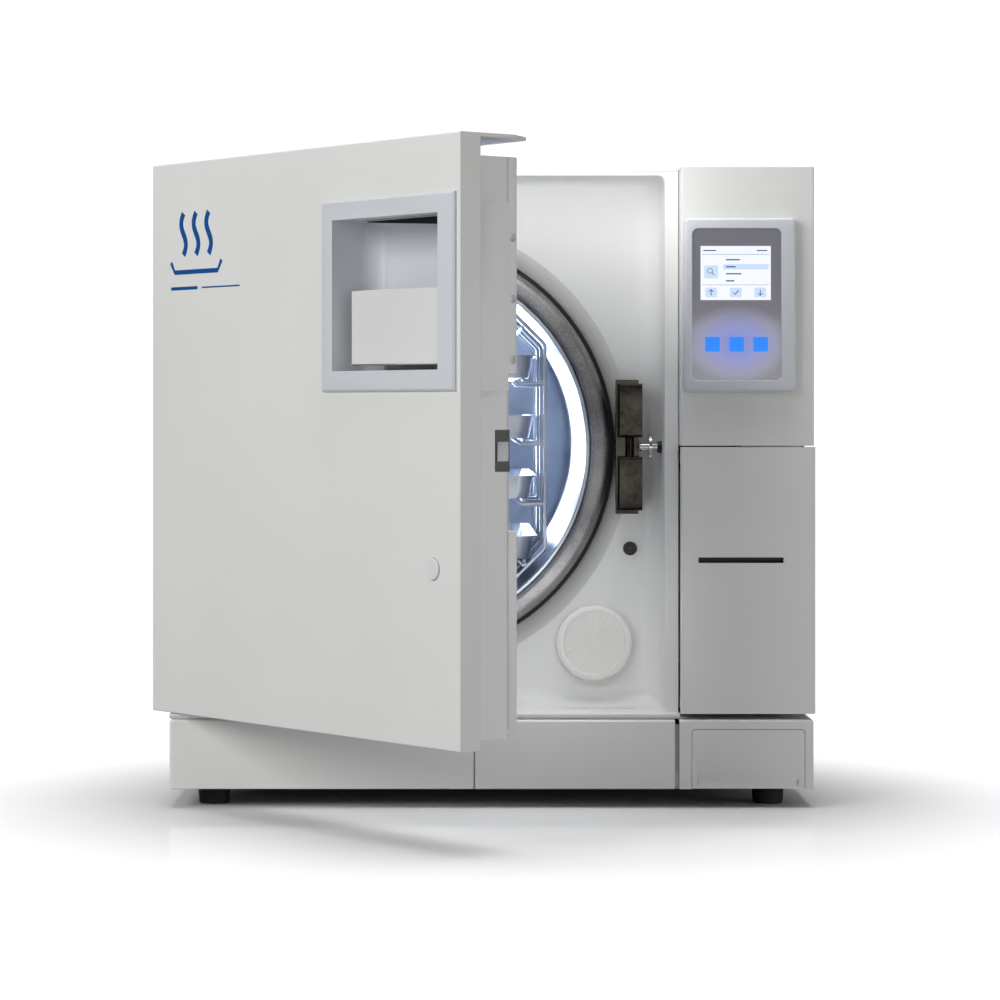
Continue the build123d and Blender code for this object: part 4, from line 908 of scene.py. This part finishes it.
def chamber():
    """The smooth rolled shell with its dished end: r = R cos t, depth = straight + D sin t."""
    quarter = np.linspace(0, pi / 2, 18)
    outer_r, outer_dish = CHAMBER_R + CHAMBER_WALL, DISH_DEPTH + CHAMBER_WALL
    inner = np.stack([CHAMBER_R * np.cos(quarter), CHAMBER_STRAIGHT + DISH_DEPTH * np.sin(quarter)], 1)
    outer = np.stack([outer_r * np.cos(quarter), CHAMBER_STRAIGHT + outer_dish * np.sin(quarter)], 1)[::-1]
    mouth = [(outer_r, CHAMBER_MOUTH), (outer_r - 0.8, CHAMBER_MOUTH - 0.6),
             (CHAMBER_R + 0.8, CHAMBER_MOUTH - 0.6), (CHAMBER_R, CHAMBER_MOUTH + 0.4)]
    section = np.concatenate([mouth, inner, outer])
    added("chamber_shell", turned("chamber_shell", section), FINISHES[SLOT_OF["chamber_vessel"]],
          BODY_OF["chamber_vessel"], "chamber_vessel")


def flange():
    """The turned ring round the mouth, its inner and outer front edges rolled over."""
    inside, outside = FLANGE_INNER_ROUND, FLANGE_OUTER_ROUND
    inner = rounded_corner(inside, (FLANGE_INNER + inside, FLANGE_FRONT + inside), 180)
    outer = rounded_corner(outside, (FLANGE_OUTER - outside, FLANGE_FRONT + outside), 270)
    section = np.concatenate([[(FLANGE_OUTER, FLANGE_BACK), (FLANGE_INNER, FLANGE_BACK)], inner, outer])
    added("flange_ring", turned("flange_ring", section), FINISHES[SLOT_OF["chamber_flange"]],
          BODY_OF["chamber_flange"], "chamber_flange")


def rack_rod(x, z, radius):
    """A straight rod the rack's full depth, at a place across and up from the chamber's axis."""
    ends = [(CHAMBER[0] + x * MM, RACK_LOW.y + radius * MM, CHAMBER[2] + z * MM),
            (CHAMBER[0] + x * MM, RACK_HIGH.y - radius * MM, CHAMBER[2] + z * MM)]
    return wire(ends, radius * MM)


def rack():
    """Four bent octagons, a rail under each side of each tray, corner rods, and stubs with upturned tips."""
    half, near = RACK_HALF, RACK_HALF - RACK_CORNER
    corners = [(half, -near), (half, near), (near, half), (-near, half), (-half, near), (-half, -near),
               (-near, -half), (near, -half)]
    levels = [(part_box(f"tray_{row}")[0].z - CHAMBER[2]) / MM - WIRE_R - 0.1 for row in range(1, 5)]
    rods = []
    for depth in RACK_DEPTHS:
        y = FRONT + depth * MM
        ring = [(CHAMBER[0] + x * MM, y, CHAMBER[2] + z * MM) for x, z in corners]
        rods.append(wire(bent(ring, RACK_BEND * MM, closed=True), WIRE_R * MM, closed=True))
        for level in levels:
            low = level - WIRE_R - STUB_R
            reach = half - max(0.0, abs(low) - near)
            for side in (-1, 1):
                stub = [(reach, low), (STUB_END, low), (STUB_END - TIP_REACH, low + TIP_RISE)]
                path = [(CHAMBER[0] + side * x * MM, y, CHAMBER[2] + z * MM) for x, z in stub]
                rods.append(wire(bent(path, 1.6 * MM), STUB_R * MM))
    inside = half - RACK_CORNER / 2 - (WIRE_R + STUB_R) * 0.5 ** 0.5
    for side in (-1, 1):
        rods += [rack_rod(side * RUNNER_HALF, level, WIRE_R) for level in levels]
        rods += [rack_rod(side * inside, upper * inside, STUB_R) for upper in (-1, 1)]
    added("rack_wires", joined("rack_wires", rods), FINISHES[SLOT_OF["tray_rack"]], BODY_OF["tray_rack"],
          "tray_rack")


# ---- Finish every CAD node, then round the ones that show ----
for node, thing in frame["nodes"].items():
    thing.data.materials.clear()
    thing.data.materials.append(FINISHES["black_plastic" if node == "tear_bar" else SLOT_OF[node]])

EDGES = {
    "door_front_cover": 1.0, "door_inner_shell": 0.8, "column_housing": 0.9, "printer_cover": 0.9,
    "base_front_left": 0.7, "base_front_right": 0.7, "flap_frame": 0.6, "base_flap": 0.5,
    "recess_panel": 0.9, "handle_recess": 0.9, "display_bezel": 0.7, "lock_bracket": 0.7,
    "top_cover": 0.4, "left_side_panel": 0.4, "right_side_panel": 0.4, "rear_panel": 0.4, "tank_lid": 0.7,
    "tray_1": 0.25, "tray_2": 0.25, "tray_3": 0.25, "tray_4": 0.25, "rubber_feet": 0.5, "air_filter": 0.3,
}
for node, width in EDGES.items():
    rounded_edges(node, width * MM)

camera()
studio()
floor()
display()
door_mark()
pull_handle()
door_details()
chamber()
flange()
rack()

bpy.context.scene.view_settings.view_transform = "Standard"
